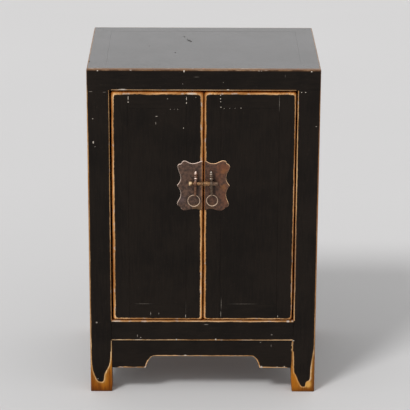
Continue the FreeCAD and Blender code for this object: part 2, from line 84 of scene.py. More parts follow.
joints = {joint["name"]: joint for joint in frame["joints"]}
ring_eye = Vector(joints["left_ring_swing"]["pos_m"])

# Sizes that the boxes of the nodes don't give, because tenons and tongues hide them
stile_width = 30.0 * mm
door_rail_width = 31.0 * mm
side_recess = 3.0 * mm
joint_gap = 0.08 * mm
arch_half_width = 91.5 * mm
arch_step_width = 15.0 * mm
arch_rise = 23.5 * mm

# Radii of arrises
soft_edge = 0.22 * mm
leaf_radius = 4.0 * mm
meeting_radius = 3.2 * mm
top_radius = 2.5 * mm
foot_radius = 1.6 * mm
inner_radius = 1.2 * mm
apron_radius = 1.0 * mm

# How far inside the lacquer a point lies that no wear reaches, in mm
unworn = 30.0

# Grid lines near the ends of a board, in mm
worn_lines = (0, 0.25, 0.7, 1.3, 2.0, 2.8, 3.7, 5.0, 7.0, 10.0)
plain_lines = (0, 0.3, 1.5)

# Bare wood below the lacquer of the feet: distance from a post's outer face against height, in mm
left_foot_curve = [
    (0, 78), (0.6, 53), (2.6, 41), (5.2, 33), (8.6, 25.4), (11, 20.8), (13.6, 18), (19, 16.6),
    (24.4, 17.8), (26.6, 21), (27.4, 26), (28, 31), (29, 36), (31.5, 41.2), (34.2, 46.6), (37, 52),
    (38.4, 59), (40, 80),
]
right_foot_curve = [
    (0, 90), (1.5, 76), (2.9, 66), (3.8, 60), (4.5, 55), (4.9, 49), (5.0, 38.2), (5.2, 28),
    (6.6, 22.8), (9, 20.6), (12, 19), (13.2, 17), (13.6, 12.6), (14.4, 9.2), (16, 7.9), (20.3, 7.9),
    (23, 8.8), (25.6, 11.2), (27.6, 14.6), (29.4, 19.6), (31.4, 24.8), (32.6, 29.8), (35, 34.6),
    (37.2, 39.8), (37.8, 53), (38.4, 66), (39, 80),
]
hidden_foot_curve = [
    (0, 74), (3, 48), (9, 27), (14, 17), (22, 12), (29, 19), (34, 30), (37, 44), (40, 70),
]


# Building meshes


def waver(place, seed):
    """A smooth uneven curve between about -1 and 1, along a length in metres."""
    total = 0
    for step, length in enumerate((47.0, 19.0, 7.0)):
        total = total + np.sin(place * 2 * math.pi / (length * mm) + seed * (1.7 + step)) / (1 + step)
    return total / 1.83


def turns(count):
    """The angles of even steps round a circle."""
    return [2 * math.pi * step / count for step in range(count)]


def tube_faces(rings, count, closed=False):
    """Faces between rings of count points each. A closed tube's last ring meets its first."""
    faces = []
    for ring in range(rings if closed else rings - 1):
        low, high = ring * count, (ring + 1) % rings * count
        for step in range(count):
            after = (step + 1) % count
            faces.append([low + step, low + after, high + after, high + step])
    return faces


def fan(start, count, middle):
    """Faces from a ring of count points to a middle point."""
    return [[start + step, start + (step + 1) % count, middle] for step in range(count)]


def grid_lines(low, high, spacing, low_lines, high_lines, extra):
    """Places of grid lines from low to high: given ones near both ends, and even ones between."""
    near = [low + place * mm for place in low_lines]
    far = [high - place * mm for place in high_lines]
    start, end = near[-1], far[-1]
    count = max(1, math.ceil((end - start) / spacing))
    middle = [start + (end - start) * step / count for step in range(1, count)]
    lines = sorted(near + far + middle + list(extra))
    kept = [lines[0]]
    for line in lines[1:]:
        if line - kept[-1] > 0.05 * mm:
            kept.append(line)
    return kept


def arris(u, v):
    """Where the rounding of an arris moves points that lie u and v past its start, and the share of
    u and v that is left then."""
    near = (u > 0) & (v > 0)
    return near, np.where(near, np.maximum(u, v) / np.maximum(np.hypot(u, v), 1e-9), 1)


def finish_piece(mesh, body, materials, node):
    """A smooth piece from a mesh, riding on its body in place of its CAD node."""
    shaper = bmesh.new()
    shaper.from_mesh(mesh)
    bmesh.ops.recalc_face_normals(shaper, faces=shaper.faces)
    shaper.to_mesh(mesh)
    shaper.free()
    mesh.polygons.foreach_set("use_smooth", [True] * len(mesh.polygons))
    for material in materials:
        mesh.materials.append(material)
    piece = bpy.data.objects.new(mesh.name, mesh)
    bpy.context.scene.collection.objects.link(piece)
    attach(piece, body)
    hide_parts(node)


def add_attribute(mesh, name, values):
    """Gives each point of a mesh a number that its material reads."""
    layer = mesh.attributes.new(name, "FLOAT", "POINT")
    layer.data.foreach_set("value", np.asarray(values, np.float32))


class Board:
    """A box with gridded faces, which is worn into shape and then becomes a piece."""

    def __init__(self, low, high, lines=(worn_lines,) * 6, spacing=(12 * mm,) * 3, extra=((), (), ())):
        self.ends = (low, high)
        grid = [
            grid_lines(low[axis], high[axis], spacing[axis], *lines[2 * axis:2 * axis + 2], extra[axis])
            for axis in range(3)
        ]
        self.faces = []
        index = {}
        last = [len(places) - 1 for places in grid]
        for axis in range(3):
            across, along = [other for other in range(3) if other != axis]
            for end in (0, last[axis]):
                for i in range(last[across]):
                    for j in range(last[along]):
                        corners = []
                        for step_i, step_j in ((0, 0), (1, 0), (1, 1), (0, 1)):
                            key = [end] * 3
                            key[across] = i + step_i
                            key[along] = j + step_j
                            corners.append(index.setdefault(tuple(key), len(index)))
                        if (end == 0) == (axis != 1):
                            corners.reverse()
                        self.faces.append(corners)
        self.sharp = np.array([[grid[axis][key[axis]] for axis in range(3)] for key in index])
        self.points = self.sharp.copy()

    def round(self, axis_a, face_a, way_a, axis_b, face_b, way_b, radius):
        """Rounds the arris of two faces. A way is +1 where the board lies above its face."""
        u = radius - way_a * (self.points[:, axis_a] - face_a)
        v = radius - way_b * (self.points[:, axis_b] - face_b)
        near, left = arris(u, v)
        for axis, face, way, past in ((axis_a, face_a, way_a, u), (axis_b, face_b, way_b, v)):
            self.points[:, axis] = np.where(near, face + way * (radius - past * left), self.points[:, axis])

    def wear(self, rounds=None, seed=0):
        """Rounds all twelve arrises: softly, or unevenly to the radius that rounds gives for a pair
        of faces. A face is its axis and 0 at the low end or 1 at the high end."""
        rounds = rounds or {}
        for axis_a, axis_b in ((0, 1), (0, 2), (1, 2)):
            along = 3 - axis_a - axis_b
            for end_a in (0, 1):
                for end_b in (0, 1):
                    radius = rounds.get(((axis_a, end_a), (axis_b, end_b)), soft_edge)
                    if radius > soft_edge:
                        uneven = waver(self.sharp[:, along], seed + 3 * end_a + 5 * end_b + 7 * axis_a)
                        radius = radius * (1 + 0.22 * uneven)
                    self.round(
                        axis_a, self.ends[end_a][axis_a], 1 - 2 * end_a,
                        axis_b, self.ends[end_b][axis_b], 1 - 2 * end_b, radius,
                    )

    def piece(self, node, materials, cover=None, inner=None, look="worn", body="carcass"):
        """Makes the piece for a node. cover is how far each point lies inside the lacquer, in mm,
        below 0 where the wood is bare. inner gives the numbers of the faces' materials from their
        middles."""
        mesh = bpy.data.meshes.new(f"{look}_{node}")
        mesh.from_pydata([tuple(point) for point in self.points], [], self.faces)
        add_attribute(mesh, "cover", np.full(len(self.points), unworn) if cover is None else cover)
        if inner is not None:
            middles = self.sharp[np.array(self.faces)].mean(axis=1)
            mesh.polygons.foreach_set("material_index", inner(middles).astype(np.int32))
        finish_piece(mesh, body, materials, node)


def flare(points):
    """The right post grows a little wider towards its foot, and what meets it ends sooner. Where
    the open leaf passes, the post's arris stays back."""
    x, depth, z = points[:, 0], (points[:, 1] - front) / mm, points[:, 2] / mm
    heights = (0, 8, 18, 30, 48, 62, 90, 100, 112, 145, 400, post_top / mm)
    wider = np.interp(z, heights, (2.4, 2.7, 3.0, 3.9, 4.2, 3.4, 3.1, 2.7, 1.7, 1.2, 1.0, 0.7))
    wider = np.where(z > rail_high / mm, np.minimum(wider, 0.2 + 0.2 * depth), wider) * mm
    beside = np.clip((x - half_opening) / (10 * mm) + 1, 0, 1)
    within = np.clip((half_width - x) / post_size, 0, 1)
    points[:, 0] = x - wider * np.minimum(beside, within)


def curve_distance(across, height_mm, curve):
    """The distance in mm from points to a curve that is given left to right, above 0 over it."""
    points = np.stack([across, height_mm], axis=1)
    best = np.full(len(points), 1e9)
    for start, end in zip(curve[:-1], curve[1:]):
        start, end = np.array(start, float), np.array(end, float)
        along = end - start
        share = np.clip((points - start) @ along / (along @ along), 0, 1)
        nearest = start + share[:, None] * along
        best = np.minimum(best, np.hypot(*(points - nearest).T))
    xs, zs = zip(*curve)
    above = height_mm > np.interp(across, np.maximum.accumulate(xs), zs)
    return np.where(above, best, -best)


# Materials. Colours are written in 0 to 255


def rgb(red, green, blue):
    """A colour written in 0 to 255, as the shader's linear colour."""
    shares = [value / 255 for value in (red, green, blue)]
    return (*[s / 12.92 if s <= 0.04045 else ((s + 0.055) / 1.055) ** 2.4 for s in shares], 1.0)


def add_node(tree, kind, values, **settings):
    """Adds a shader node, sets it up, and fills its inputs from a dictionary."""
    made = tree.nodes.new("ShaderNode" + kind)
    for key, value in settings.items():
        setattr(made, key, value)
    for key, value in values.items():
        if isinstance(value, bpy.types.NodeSocket):
            tree.links.new(value, made.inputs[key])
        else:
            made.inputs[key].default_value = rgb(*value) if made.inputs[key].type == "RGBA" else value
    return made


class Shader:
    """A material whose nodes are added in few words. Its patterns work in millimetres."""

    def __init__(self, name):
        self.material = bpy.data.materials.new(name)
        self.material.use_nodes = True
        self.material.node_tree.nodes.clear()
        coordinates = self.node("TexCoord", {}).outputs["Object"]
        self.place = self.vector("SCALE", {0: coordinates, "Scale": 1 / mm}).outputs["Vector"]
        self.height = self.node("SeparateXYZ", {0: self.place}).outputs["Z"]

    def node(self, kind, values, **settings):
        return add_node(self.material.node_tree, kind, values, **settings)

    def math(self, operation, *values):
        return self.node("Math", dict(enumerate(values)), operation=operation).outputs[0]

    def times(self, value, factor):
        return self.math("MULTIPLY", value, factor)

    def plus(self, first, second):
        return self.math("ADD", first, second)

    def line(self, value, slope, start):
        """The value times a slope, from a start."""
        return self.math("MULTIPLY_ADD", value, slope, start)

    def swing(self, value, reach):
        """A value between 0 and 1, spread over a reach whose middle is 0."""
        return self.line(value, reach, -reach / 2)

    def total(self, *terms):
        """The sum of values, each times its factor."""
        first, *others = [self.times(value, factor) for value, factor in terms]
        for other in others:
            first = self.plus(first, other)
        return first

    def vector(self, operation, values):
        return self.node("VectorMath", values, operation=operation)

    def noise(self, size, along="", detail=2.0, offset=0.0, roughness=0.5):
        """Noise between 0 and 1 whose lumps are size mm wide, and far longer along the grain."""
        scale = [1 / (size * (14 if axis == along else 1)) for axis in "xyz"]
        place = self.vector("MULTIPLY_ADD", {0: self.place, 1: scale, 2: [offset] * 3}).outputs["Vector"]
        values = {"Vector": place, "Scale": 1.0, "Detail": detail, "Roughness": roughness}
        return self.node("TexNoise", values).outputs["Fac"]

    def spot(self, middle, reach):
        """How far a point lies from the middle of a spot, in units of the spot's reach."""
        scale = [1 / length for length in reach]
        shift = [-place / length for place, length in zip(middle, reach)]
        away = self.vector("MULTIPLY_ADD", {0: self.place, 1: scale, 2: shift}).outputs["Vector"]
        return self.vector("LENGTH", {0: away}).outputs["Value"]

    def marks(self, spots):
        """How much small marks show, 0 to 1. Each is its middle, its reach and its strength."""
        shown = 0.0
        for middle, reach, strength in spots:
            mark = self.line(self.spot(middle, reach), -2 * strength, 2.4 * strength)
            shown = self.math("MAXIMUM", shown, mark)
        return self.math("MINIMUM", shown, 1.0)

    def ramp(self, value, low, high, to_low=0.0, to_high=1.0):
        """The value carried smoothly from one range to another, without passing its ends."""
        values = dict(enumerate((value, low, high, to_low, to_high)))
        return self.node("MapRange", values, interpolation_type="SMOOTHSTEP").outputs[0]

    def colours(self, value, stops):
        """A colour that runs through (place, colour) stops."""
        made = self.node("ValToRGB", {"Fac": value})
        elements = made.color_ramp.elements
        while len(elements) < len(stops):
            elements.new(0.5)
        for element, (place, colour) in zip(elements, stops):
            element.position = place
            element.color = rgb(*colour)
        return made.outputs["Color"]

    def mix(self, share, first, second, blend="MIX"):
        values = {"Factor": share, 6: first, 7: second}
        return self.node("Mix", values, data_type="RGBA", blend_type=blend).outputs[2]

    def tint(self, share, colour, tint):
        """The colour, multiplied by a tint by a share."""
        return self.mix(share, colour, self.mix(1.0, colour, tint, "MULTIPLY"))

    def finish(self, colour, roughness, height=None, depth=0.2 * mm, **plain):
        """Sets the surface's colour, roughness, bump and the plain values of its other sockets."""
        values = {"Base Color": colour, "Roughness": roughness, **plain}
        if height is not None:
            bump = self.node("Bump", {"Height": height, "Distance": depth, "Strength": 1.0})
            values["Normal"] = bump.outputs["Normal"]
        surface = self.node("BsdfPrincipled", values)
        self.node("OutputMaterial", {"Surface": surface.outputs["BSDF"]})
        return self.material


# Chips and scratches on the front: x, z, half width, half height in mm, and how strongly they show
front_marks = [
    (-135.5, 571.5, 0.6, 3.8, 1.0), (-135.6, 564.0, 1.2, 1.1, 1.0), (-30.9, 571.0, 0.6, 3.4, 0.8),
    (-30.9, 562.6, 0.9, 1.7, 0.8), (30.4, 577.3, 0.7, 1.3, 1.0), (30.4, 570.7, 0.9, 1.0, 1.0),
    (30.6, 565.2, 0.6, 1.0, 0.8), (31.1, 554.9, 1.1, 1.0, 1.0), (36.9, 552.5, 0.7, 0.5, 0.7),
    (47.0, 552.8, 0.5, 0.5, 0.6), (56.5, 553.0, 0.5, 0.5, 0.6), (67.1, 553.3, 1.0, 0.6, 0.8),
    (136.1, 562.0, 0.4, 15.0, 0.3), (-84.6, 537.5, 2.4, 0.5, 0.6), (-86.1, 524.6, 0.5, 2.6, 0.35),
    (-64.8, 570.3, 1.0, 0.9, 0.35), (-46.5, 550.7, 0.6, 0.5, 0.7), (-53.0, 550.9, 0.5, 0.5, 0.6),
    (-60.0, 550.7, 0.6, 0.5, 0.7), (-36.2, 515.7, 0.9, 1.0, 0.6), (-199.5, 533.4, 0.8, 0.9, 0.8),
    (-199.0, 489.0, 1.2, 2.3, 0.9), (-196.0, 480.8, 0.7, 0.6, 0.6), (202.9, 519.7, 0.9, 0.7, 0.7),
    (-196.3, 25.6, 0.7, 0.7, 1.0), (-197.4, 139.2, 2.0, 1.8, 0.28), (175.4, 583.4, 1.1, 0.7, 0.8),
    (182.7, 583.4, 1.2, 0.7, 0.8), (-202.6, 583.8, 3.4, 0.5, 0.32), (-178.0, 582.8, 3.0, 0.5, 0.2),
    (-189.8, 622.6, 1.3, 0.9, 1.0), (-130.7, 624.2, 2.2, 1.2, 0.9), (-35.3, 622.0, 1.2, 2.2, 1.0),
    (192.7, 621.7, 1.4, 1.0, 1.0), (98.5, 622.8, 0.9, 0.7, 0.8), (103.2, 622.6, 0.7, 0.6, 0.7),
    (-37.6, 598.6, 0.55, 0.5, 0.6), (35.2, 601.5, 0.55, 0.55, 0.65), (-12.9, 611.3, 5.5, 0.8, 0.08),
    (43.5, 587.9, 2.4, 0.9, 0.9), (145.7, 613.4, 0.5, 3.0, 0.09), (-145.6, 587.6, 7.5, 1.6, 0.6),
    (-49.2, 105.1, 1.1, 1.8, 1.0), (24.2, 105.6, 1.4, 1.7, 1.0), (128.7, 115.3, 2.0, 0.5, 0.55),
    (108.0, 98.6, 1.1, 0.6, 0.6), (127.9, 91.9, 0.5, 2.6, 0.25), (-32.7, 72.2, 2.6, 1.4, 0.9),
    (-121.8, 112.9, 0.7, 2.8, 0.25), (-115.6, 109.3, 1.1, 0.8, 0.5), (6.2, 135.6, 4.5, 0.8, 0.2),
    (139.7, 49.1, 1.1, 1.2, 0.9), (153.2, 49.7, 1.2, 1.4, 0.9), (110.0, 48.5, 2.4, 2.6, 0.9),
    (-107.5, 48.0, 2.2, 2.0, 0.9), (-96.9, 156.5, 0.45, 3.6, 0.4), (-81.8, 156.5, 0.7, 2.0, 0.25),
    (-31.5, 168.0, 0.3, 16.0, 0.14), (-32.0, 151.5, 0.6, 3.5, 0.5), (33.3, 155.8, 0.35, 6.0, 0.45),
    (34.0, 176.0, 0.4, 12.0, 0.2), (139.0, 151.5, 0.45, 2.2, 0.6), (158.5, 141.6, 3.0, 1.2, 0.8),
    (166.6, 143.0, 2.2, 1.6, 0.9), (-21.6, 580.0, 10.0, 2.0, 0.55), (-14.0, 573.0, 0.7, 0.7, 0.4),
    (-160.0, 141.5, 9.0, 0.9, 0.55), (-120.0, 105.0, 9.0, 0.7, 0.45), (80.0, 104.4, 12.0, 0.6, 0.35),
    (75.0, 176.0, 26.0, 0.3, 0.16), (-110.0, 176.0, 16.0, 0.3, 0.16), (60.0, 71.0, 0.9, 1.0, 0.7),
    (-150.0, 47.8, 1.2, 1.0, 0.8), (-125.0, 47.9, 0.8, 0.9, 0.7), (169.0, 103.5, 2.0, 1.0, 0.7),
]
front_spots = [
    ((x, front / mm + 1, z), (half_wide, 8, half_high), strength)
    for x, z, half_wide, half_high, strength in front_marks
]

# Dark scratches in the top: x, distance from the front, half width, half depth in mm
top_scratches = [
    (-36.0, 243.0, 1.8, 3.5), (-30.0, 224.0, 1.6, 3.0), (-27.0, 214.0, 3.2, 5.0), (-23.5, 206.0, 2.4, 4.0),
    (-52.0, 122.0, 1.6, 3.0), (-207.5, 56.0, 1.6, 5.0), (-101.0, 171.0, 0.6, 2.5),
]
top_spots = [
    ((x, y + front / mm, height / mm), (half_wide, half_deep, 3), 1.0)
    for x, y, half_wide, half_deep in top_scratches
]

# Bare wood by its depth inside the worn place, as a share of bare_depth, which is in mm
bare_depth = 22.0
golden = (
    (0.0, (232, 196, 152)), (0.06, (244, 198, 146)), (0.16, (224, 160, 92)),
    (0.30, (180, 110, 40)), (0.55, (164, 92, 22)), (1.0, (150, 76, 10)),
)
honey = (
    (0.0, (240, 204, 158)), (0.07, (240, 198, 140)), (0.12, (188, 128, 50)),
    (0.3, (176, 110, 24)), (0.6, (158, 92, 10)), (1.0, (132, 72, 2)),
)
pale = (
    (0.0, (210, 180, 144)), (0.05, (236, 200, 158)), (0.12, (216, 160, 100)),
    (0.30, (170, 104, 40)), (1.0, (124, 66, 12)),
)
dusty = (
    (0.0, (170, 144, 120)), (0.05, (172, 138, 106)), (0.12, (154, 116, 78)),
    (0.25, (130, 92, 52)), (1.0, (104, 66, 30)),
)

# Stains in the bare wood of the front, with some painted shade and painted light among them: x, distance
# from the front, z, reach, strength and colour
stains_and_painted_light = [
    # Darker between the plates: partly handling dirt, partly painted shade on the rounded edges there
    (0, 0, plate_height + 6, (5.5, 30, 42), 0.55, (158, 102, 58)),
    (0, 0, plate_height - 30, (5.5, 30, 17), 0.6, (104, 62, 34)),
    # Darker down the right post's outer edge: painted shade on the side away from the light
    (half_width / mm, 0, 360, (5, 12, 250), 0.65, (124, 68, 34)),
    (-half_width / mm, 0, 230, (5, 12, 150), 0.6, (130, 88, 52)),
    (half_width / mm - 11, 0, 15, (6, 6, 7), 0.7, (232, 176, 90)),
    # Darker down the right foot's outer edge: painted shade on the side away from the light
    (half_width / mm, 0, 30, (6.5, 18, 80), 0.65, (100, 56, 14)),
    (half_opening / mm, 0, 270, (5, 6, 95), 0.7, (118, 84, 62)),
    (half_opening / mm, 0, 20, (14, 18, 30), 0.35, (214, 134, 30)),
    # Lighter inside the middle gap and the right gap, 12 mm deep: painted bounce light
    (0, 12, 360, (2.4, 8, 330), 0.65, (206, 104, 28)),
    (half_opening / mm - 1.5, 12, 360, (3, 8, 330), 0.6, (190, 84, 22)),
]


def lacquer(name, along, marks=(), palette=golden, ragged=1.0, top=False):
    """Black lacquer, rubbed through to wood where the cover attribute falls below 0. The top is
    glossier than the rest."""
    shader = Shader(name)
    drift = shader.swing(shader.noise(24, detail=1.5), 3.0 * ragged)
    fray = shader.swing(shader.noise(4.5, detail=3.0, offset=7.0), 2.2 * ragged)
    cover = shader.node("Attribute", {}, attribute_name="cover").outputs["Fac"]
    edge = shader.plus(cover, shader.plus(drift, fray))
    lacquered = shader.ramp(edge, -0.22, 0.22)

    grain = shader.noise(1.6, along, 4.0, 3.0, 0.6)
    depth = shader.times(edge, -1 / bare_depth)
    bare = shader.colours(depth, palette)
    if palette is dusty:
        below_top = shader.ramp(shader.height, post_top / mm + 12, post_top / mm + 8)
        bare = shader.mix(below_top, bare, shader.colours(depth, pale))
    bare = shader.tint(shader.ramp(grain, 0.7, 0.3), bare, (196, 178, 146))
    aged = shader.ramp(shader.noise(15, along, offset=31.0), 0.42, 0.58, 0.0, 0.8)
    bare = shader.tint(aged, bare, (204, 184, 156))
    rubbed = shader.ramp(shader.noise(13, offset=21.0), 0.6, 0.68)
    rubbed = shader.times(rubbed, shader.ramp(edge, -4.0, -1.0))
    bare = shader.mix(shader.times(rubbed, 0.7), bare, (190, 172, 158))

    blurred = shader.swing(shader.noise(5, detail=3.0, offset=41.0), 0.8)
    # Stains, with painted shade and painted bounce light among them
    for x, y, z, reach, strength, colour in stains_and_painted_light:
        distance = shader.plus(shader.spot((x, front / mm + y, z), reach), blurred)
        bare = shader.mix(shader.ramp(distance, 1.5, 0.4, 0.0, strength), bare, colour)
    # Bare wood darker over the lowest 12 mm: painted contact shade
    bare = shader.mix(shader.ramp(shader.height, 12.0, 0.0, 0.0, 0.5), bare, (84, 44, 4))

    broad = shader.noise(60, detail=3.0, offset=11.0)
    lines = shader.noise(2.0, along, 3.0, 15.0)
    tone = shader.ramp(shader.total((broad, 0.55), (lines, 0.45)), 0.36, 0.64)
    if top:
        cloudy = shader.times(shader.ramp(shader.noise(11, detail=4.0, offset=17.0), 0.4, 0.7), 0.35)
        black = shader.mix(cloudy, shader.mix(tone, (20, 14, 12), (50, 46, 48)), (66, 60, 60))
    else:
        black = shader.mix(tone, (14, 8, 4), (25, 18, 12))
    black = shader.mix(shader.ramp(edge, 0.1, 1.8), (52, 30, 14), black)
    specks = shader.ramp(shader.noise(1.1, detail=0.0, offset=5.0), 0.80, 0.84)
    black = shader.mix(shader.times(specks, 0.30), black, (120, 104, 92))

    broken = shader.ramp(shader.noise(1.3, detail=1.0, offset=9.0), 0.30, 0.55, 0.45, 1.0)
    worn = shader.times(shader.marks(marks), broken)
    scratched = shader.marks(top_spots if top else ())
    colour = shader.mix(worn, shader.mix(lacquered, bare, black), (206, 194, 180))
    gloss = shader.line(shader.noise(0.7, along, offset=2.0), 0.16, 0.12 if top else 0.26)
    roughness = shader.plus(gloss, shader.times(shader.math("SUBTRACT", 1.0, lacquered), 0.3))
    roughness = shader.plus(roughness, shader.times(scratched, 0.5))
    relief = shader.total((lacquered, 0.7), (grain, 0.25), (worn, -0.5), (scratched, -2.0))
    return shader.finish(colour, roughness, relief, 0.15 * mm, IOR=1.55 if top else 1.235)


def plain_wood(name, along, dark, light, gloss):
    """Planed wood with long grain and a few darker streaks."""
    shader = Shader(name)
    grain = shader.noise(2.2, along, 5.0, roughness=0.65)
    broad = shader.noise(26, along, offset=4.0)
    share = shader.ramp(shader.total((grain, 0.6), (broad, 0.4)), 0.3, 0.7)
    pores = shader.ramp(shader.noise(0.6, along, 1.0, 8.0), 0.62, 0.72)
    colour = shader.mix(shader.times(pores, 0.5), shader.mix(share, dark, light), (42, 24, 12))
    return shader.finish(colour, shader.line(grain, 0.2, gloss), grain)


def metal(name, base, dull, bright, gloss=0.34, patches=()):
    """Old metal: mottled, duller in places, and bright where the attribute says: rubbed wear, and painted
    highlights on faces turned towards the light. A patch is the place of its middle (x, z), its reach
    (x, z), its strength and its colour."""
    shader = Shader(name)
    mottle = shader.noise(7, detail=5.0, roughness=0.65)
    fine = shader.noise(1.4, detail=3.0, offset=6.0)
    colour = shader.mix(shader.ramp(mottle, 0.38, 0.62), base, dull)
    for (x, z), (wide, high), strength, tint in patches:
        ragged = shader.line(mottle, 2.2, shader.spot((x, pin_axis.y / mm, z), (wide, 100, high)))
        colour = shader.mix(shader.ramp(ragged, 2.3, 1.3, 0.0, strength), colour, tint)
    rub_and_highlight = shader.node("Attribute", {}, attribute_name="rub_and_highlight").outputs["Fac"]
    colour = shader.mix(shader.ramp(shader.line(fine, 0.5, rub_and_highlight), 0.55, 1.05), colour, bright)
    relief = shader.total((mottle, 0.6), (fine, 0.3))
    return shader.finish(colour, shader.line(fine, 0.25, gloss), relief, 0.25 * mm, Metallic=0.5)


upright_lacquer = lacquer("lacquer_upright", "z", front_spots)
post_lacquer = lacquer("lacquer_post", "z", front_spots, honey, 0.45)
level_lacquer = lacquer("lacquer_level", "x", front_spots)
rail_lacquer = lacquer("lacquer_rail", "x", front_spots, pale, 0.7)
deep_lacquer = lacquer("lacquer_deep", "y", (), honey, 0.8)
frame_lacquer = lacquer("lacquer_frame", "x", front_spots, dusty, 0.25)
frame_side_lacquer = lacquer("lacquer_frame_side", "y", (), dusty, 0.45)
top_level_lacquer = lacquer("lacquer_top_level", "x", (), dusty, 0.45, True)
top_deep_lacquer = lacquer("lacquer_top_deep", "y", (), dusty, 0.45, True)
inner_upright = plain_wood("inner_wood_upright", "z", (96, 58, 32), (150, 98, 58), 0.45)
inner_level = plain_wood("inner_wood_level", "x", (98, 60, 33), (152, 100, 60), 0.45)
inner_deep = plain_wood("inner_wood_deep", "y", (92, 55, 30), (144, 94, 55), 0.45)
back_wood = plain_wood("back_wood_upright", "z", (30, 20, 14), (52, 36, 26), 0.4)
plate_bronze = {
    -1: metal("plate_bronze_left", (102, 76, 62), (64, 48, 40), (224, 200, 184), 0.42, [
        ((-8.0, 362.0), (14.0, 14.0), 0.6, (120, 88, 50)), ((-40.0, 380.0), (10.0, 10.0), 0.4, (92, 78, 80)),
        # Lighter strip along the plate's inner edge: painted highlight
        ((-2.4, pin_height), (2.4, 62.0), 0.75, (168, 124, 92)),
        # Dark strip just right of the left lug: painted shadow
        ((-10.4, pin_height - 1.5), (4.0, 26.0), 0.85, (34, 22, 16)),
    ]),
    1: metal("plate_bronze_right", (102, 70, 54), (68, 48, 38), (224, 182, 140), 0.42, [
        ((38.0, 440.0), (16.0, 14.0), 0.6, (128, 76, 46)), ((26.0, 424.0), (14.0, 14.0), 0.3, (116, 72, 48)),
        ((36.5, 404.0), (7.5, 7.0), 0.5, (150, 98, 52)), ((37.0, 434.0), (6.0, 6.0), 0.4, (150, 98, 54)),
        ((40.0, 385.0), (10.0, 22.0), 0.5, (120, 74, 50)), ((12.0, 365.0), (12.0, 12.0), 0.4, (104, 74, 48)),
        # Lighter strip along the plate's inner edge: painted highlight
        ((2.6, pin_height), (2.5, 62.0), 0.25, (150, 112, 84)),
        # Dark strip just right of the right lug: painted shadow
        ((20.0, pin_height - 3.0), (3.4, 33.0), 0.85, (34, 22, 16)),
    ]),
}
lug_bronze = {
    -1: metal("lug_bronze_left", (128, 90, 66), (92, 60, 42), (222, 198, 184)),
    1: metal("lug_bronze_right", (106, 86, 68), (74, 58, 46), (214, 204, 192)),
}
ring_bronze = metal("ring_bronze", (112, 88, 70), (80, 62, 50), (196, 170, 146))
pin_brass = metal("pin_brass", (140, 104, 68), (104, 70, 40), (214, 184, 142), 0.4)
stub_bronze = metal("stub_bronze", (124, 98, 78), (92, 70, 54), (180, 156, 130), 0.4)


# Carcass


def post(side, end):
    """A corner post, which is also a foot."""
    at_front = end < 0
    xs = sorted((side * half_width, side * half_opening))
    ys = (front, front + post_size) if at_front else (back - post_size, back)
    rows = [step * 2.0 * mm for step in range(1, 48)] + [rail_low + step * mm for step in (-3, -1, 1, 3)]
    board = Board(
        (xs[0], ys[0], 0), (xs[1], ys[1], post_top - joint_gap),
        (worn_lines,) * 4 + (plain_lines,) * 2, (2.6 * mm, 2.6 * mm, 12 * mm), ((), (), rows),
    )

    def inward(points):
        """How far points lie inside the outer face and inside the front or back face, in mm."""
        depth = points[:, 1] - front if at_front else back - points[:, 1]
        return (half_width - side * points[:, 0]) / mm, depth / mm

    u, v = inward(board.sharp)
    z = board.sharp[:, 2] / mm
    size = post_size / mm
    outer_face, inner_face = (0, int(side > 0)), (0, int(side < 0))
    end_face, deep_face = (1, int(end > 0)), (1, int(end < 0))
    rounds = {
        (outer_face, end_face): top_radius,
        (inner_face, end_face): inner_radius,
        (outer_face, deep_face): inner_radius,
    }
    board.wear(rounds, 11 + 5 * side + 3 * end)
    for axis, face, way in ((0, xs[0], 1), (0, xs[1], -1), (1, ys[0], 1), (1, ys[1], -1)):
        board.round(axis, face, way, 2, 0.0, 1, foot_radius)

    corner_width = np.interp(z, (0, 90, 240, 330, 480, post_top / mm), (2.6, 2.4, 2.2, 2.5, 2.0, 1.2))
    cover = np.maximum(u, v) - corner_width * (0.92 if side < 0 else 0.85)
    # The right post's bare wood goes deeper in the palette, so darker: painted shade on the side away from
    # the light
    cover = np.where(cover < 0, cover * (1.4 if side < 0 else 2.0), cover)
    cover = np.minimum(cover, np.maximum(size - v, u) - 0.5)
    if at_front:
        door_side = (size - u) - 0.3 * v - 0.7
        leg_side = np.maximum(size - u, v) - np.interp(z, (0, 60, 100), (2.6, 1.9, 1.0))
        beside_rail = np.where(z < rail_low / mm, leg_side, 6.0)
        cover = np.minimum(cover, np.where(z > rail_high / mm, door_side, beside_rail))
    curves = (left_foot_curve, right_foot_curve)
    front_curve, other_curve = curves if side < 0 else reversed(curves)
    on_end = v < 0.01
    foot = np.where(
        on_end & at_front, curve_distance(u, z, front_curve), curve_distance(v, z, other_curve)
    )
    hidden = (v > size - 0.01) | (on_end & (not at_front))
    foot = np.where(hidden, curve_distance(u, z, hidden_foot_curve), foot) - 2.2

    def interior(middles):
        u, v = inward(middles)
        strip = side_recess / mm + 0.5
        opening_depth = (door_back - front) / mm if at_front else strip
        on_inner = (u > size - 0.01) & (v > opening_depth)
        on_deep = (v > size - 0.01) & (u > strip)
        return (on_inner | on_deep) & (middles[:, 2] > rail_low)

    if at_front:
        flare(board.points)
    node = f"post_{'front' if at_front else 'back'}_{side_names[side]}"
    board.piece(node, [post_lacquer, inner_upright], np.minimum(cover, foot), interior)


def top_cover(points):
    """The cover of the top's frame, which is worn along its outer arrises."""
    x, y, z = (points / mm).T
    to_side = half_width / mm - np.abs(x)
    to_front = y - front / mm
    to_back = back / mm - y
    down = height / mm - z
    cover = np.full(len(points), unworn)
    for distance, strip in ((to_front, 9.4), (to_back, 3.0), (to_side, 2.0)):
        on_face = np.maximum(down - 2.1, distance)
        cover = np.minimum(cover, np.where(down < 0.01, distance - strip, on_face))
    corner = np.minimum(np.maximum(to_side, to_front), np.maximum(to_side, to_back))
    return np.minimum(cover, corner - 0.6)


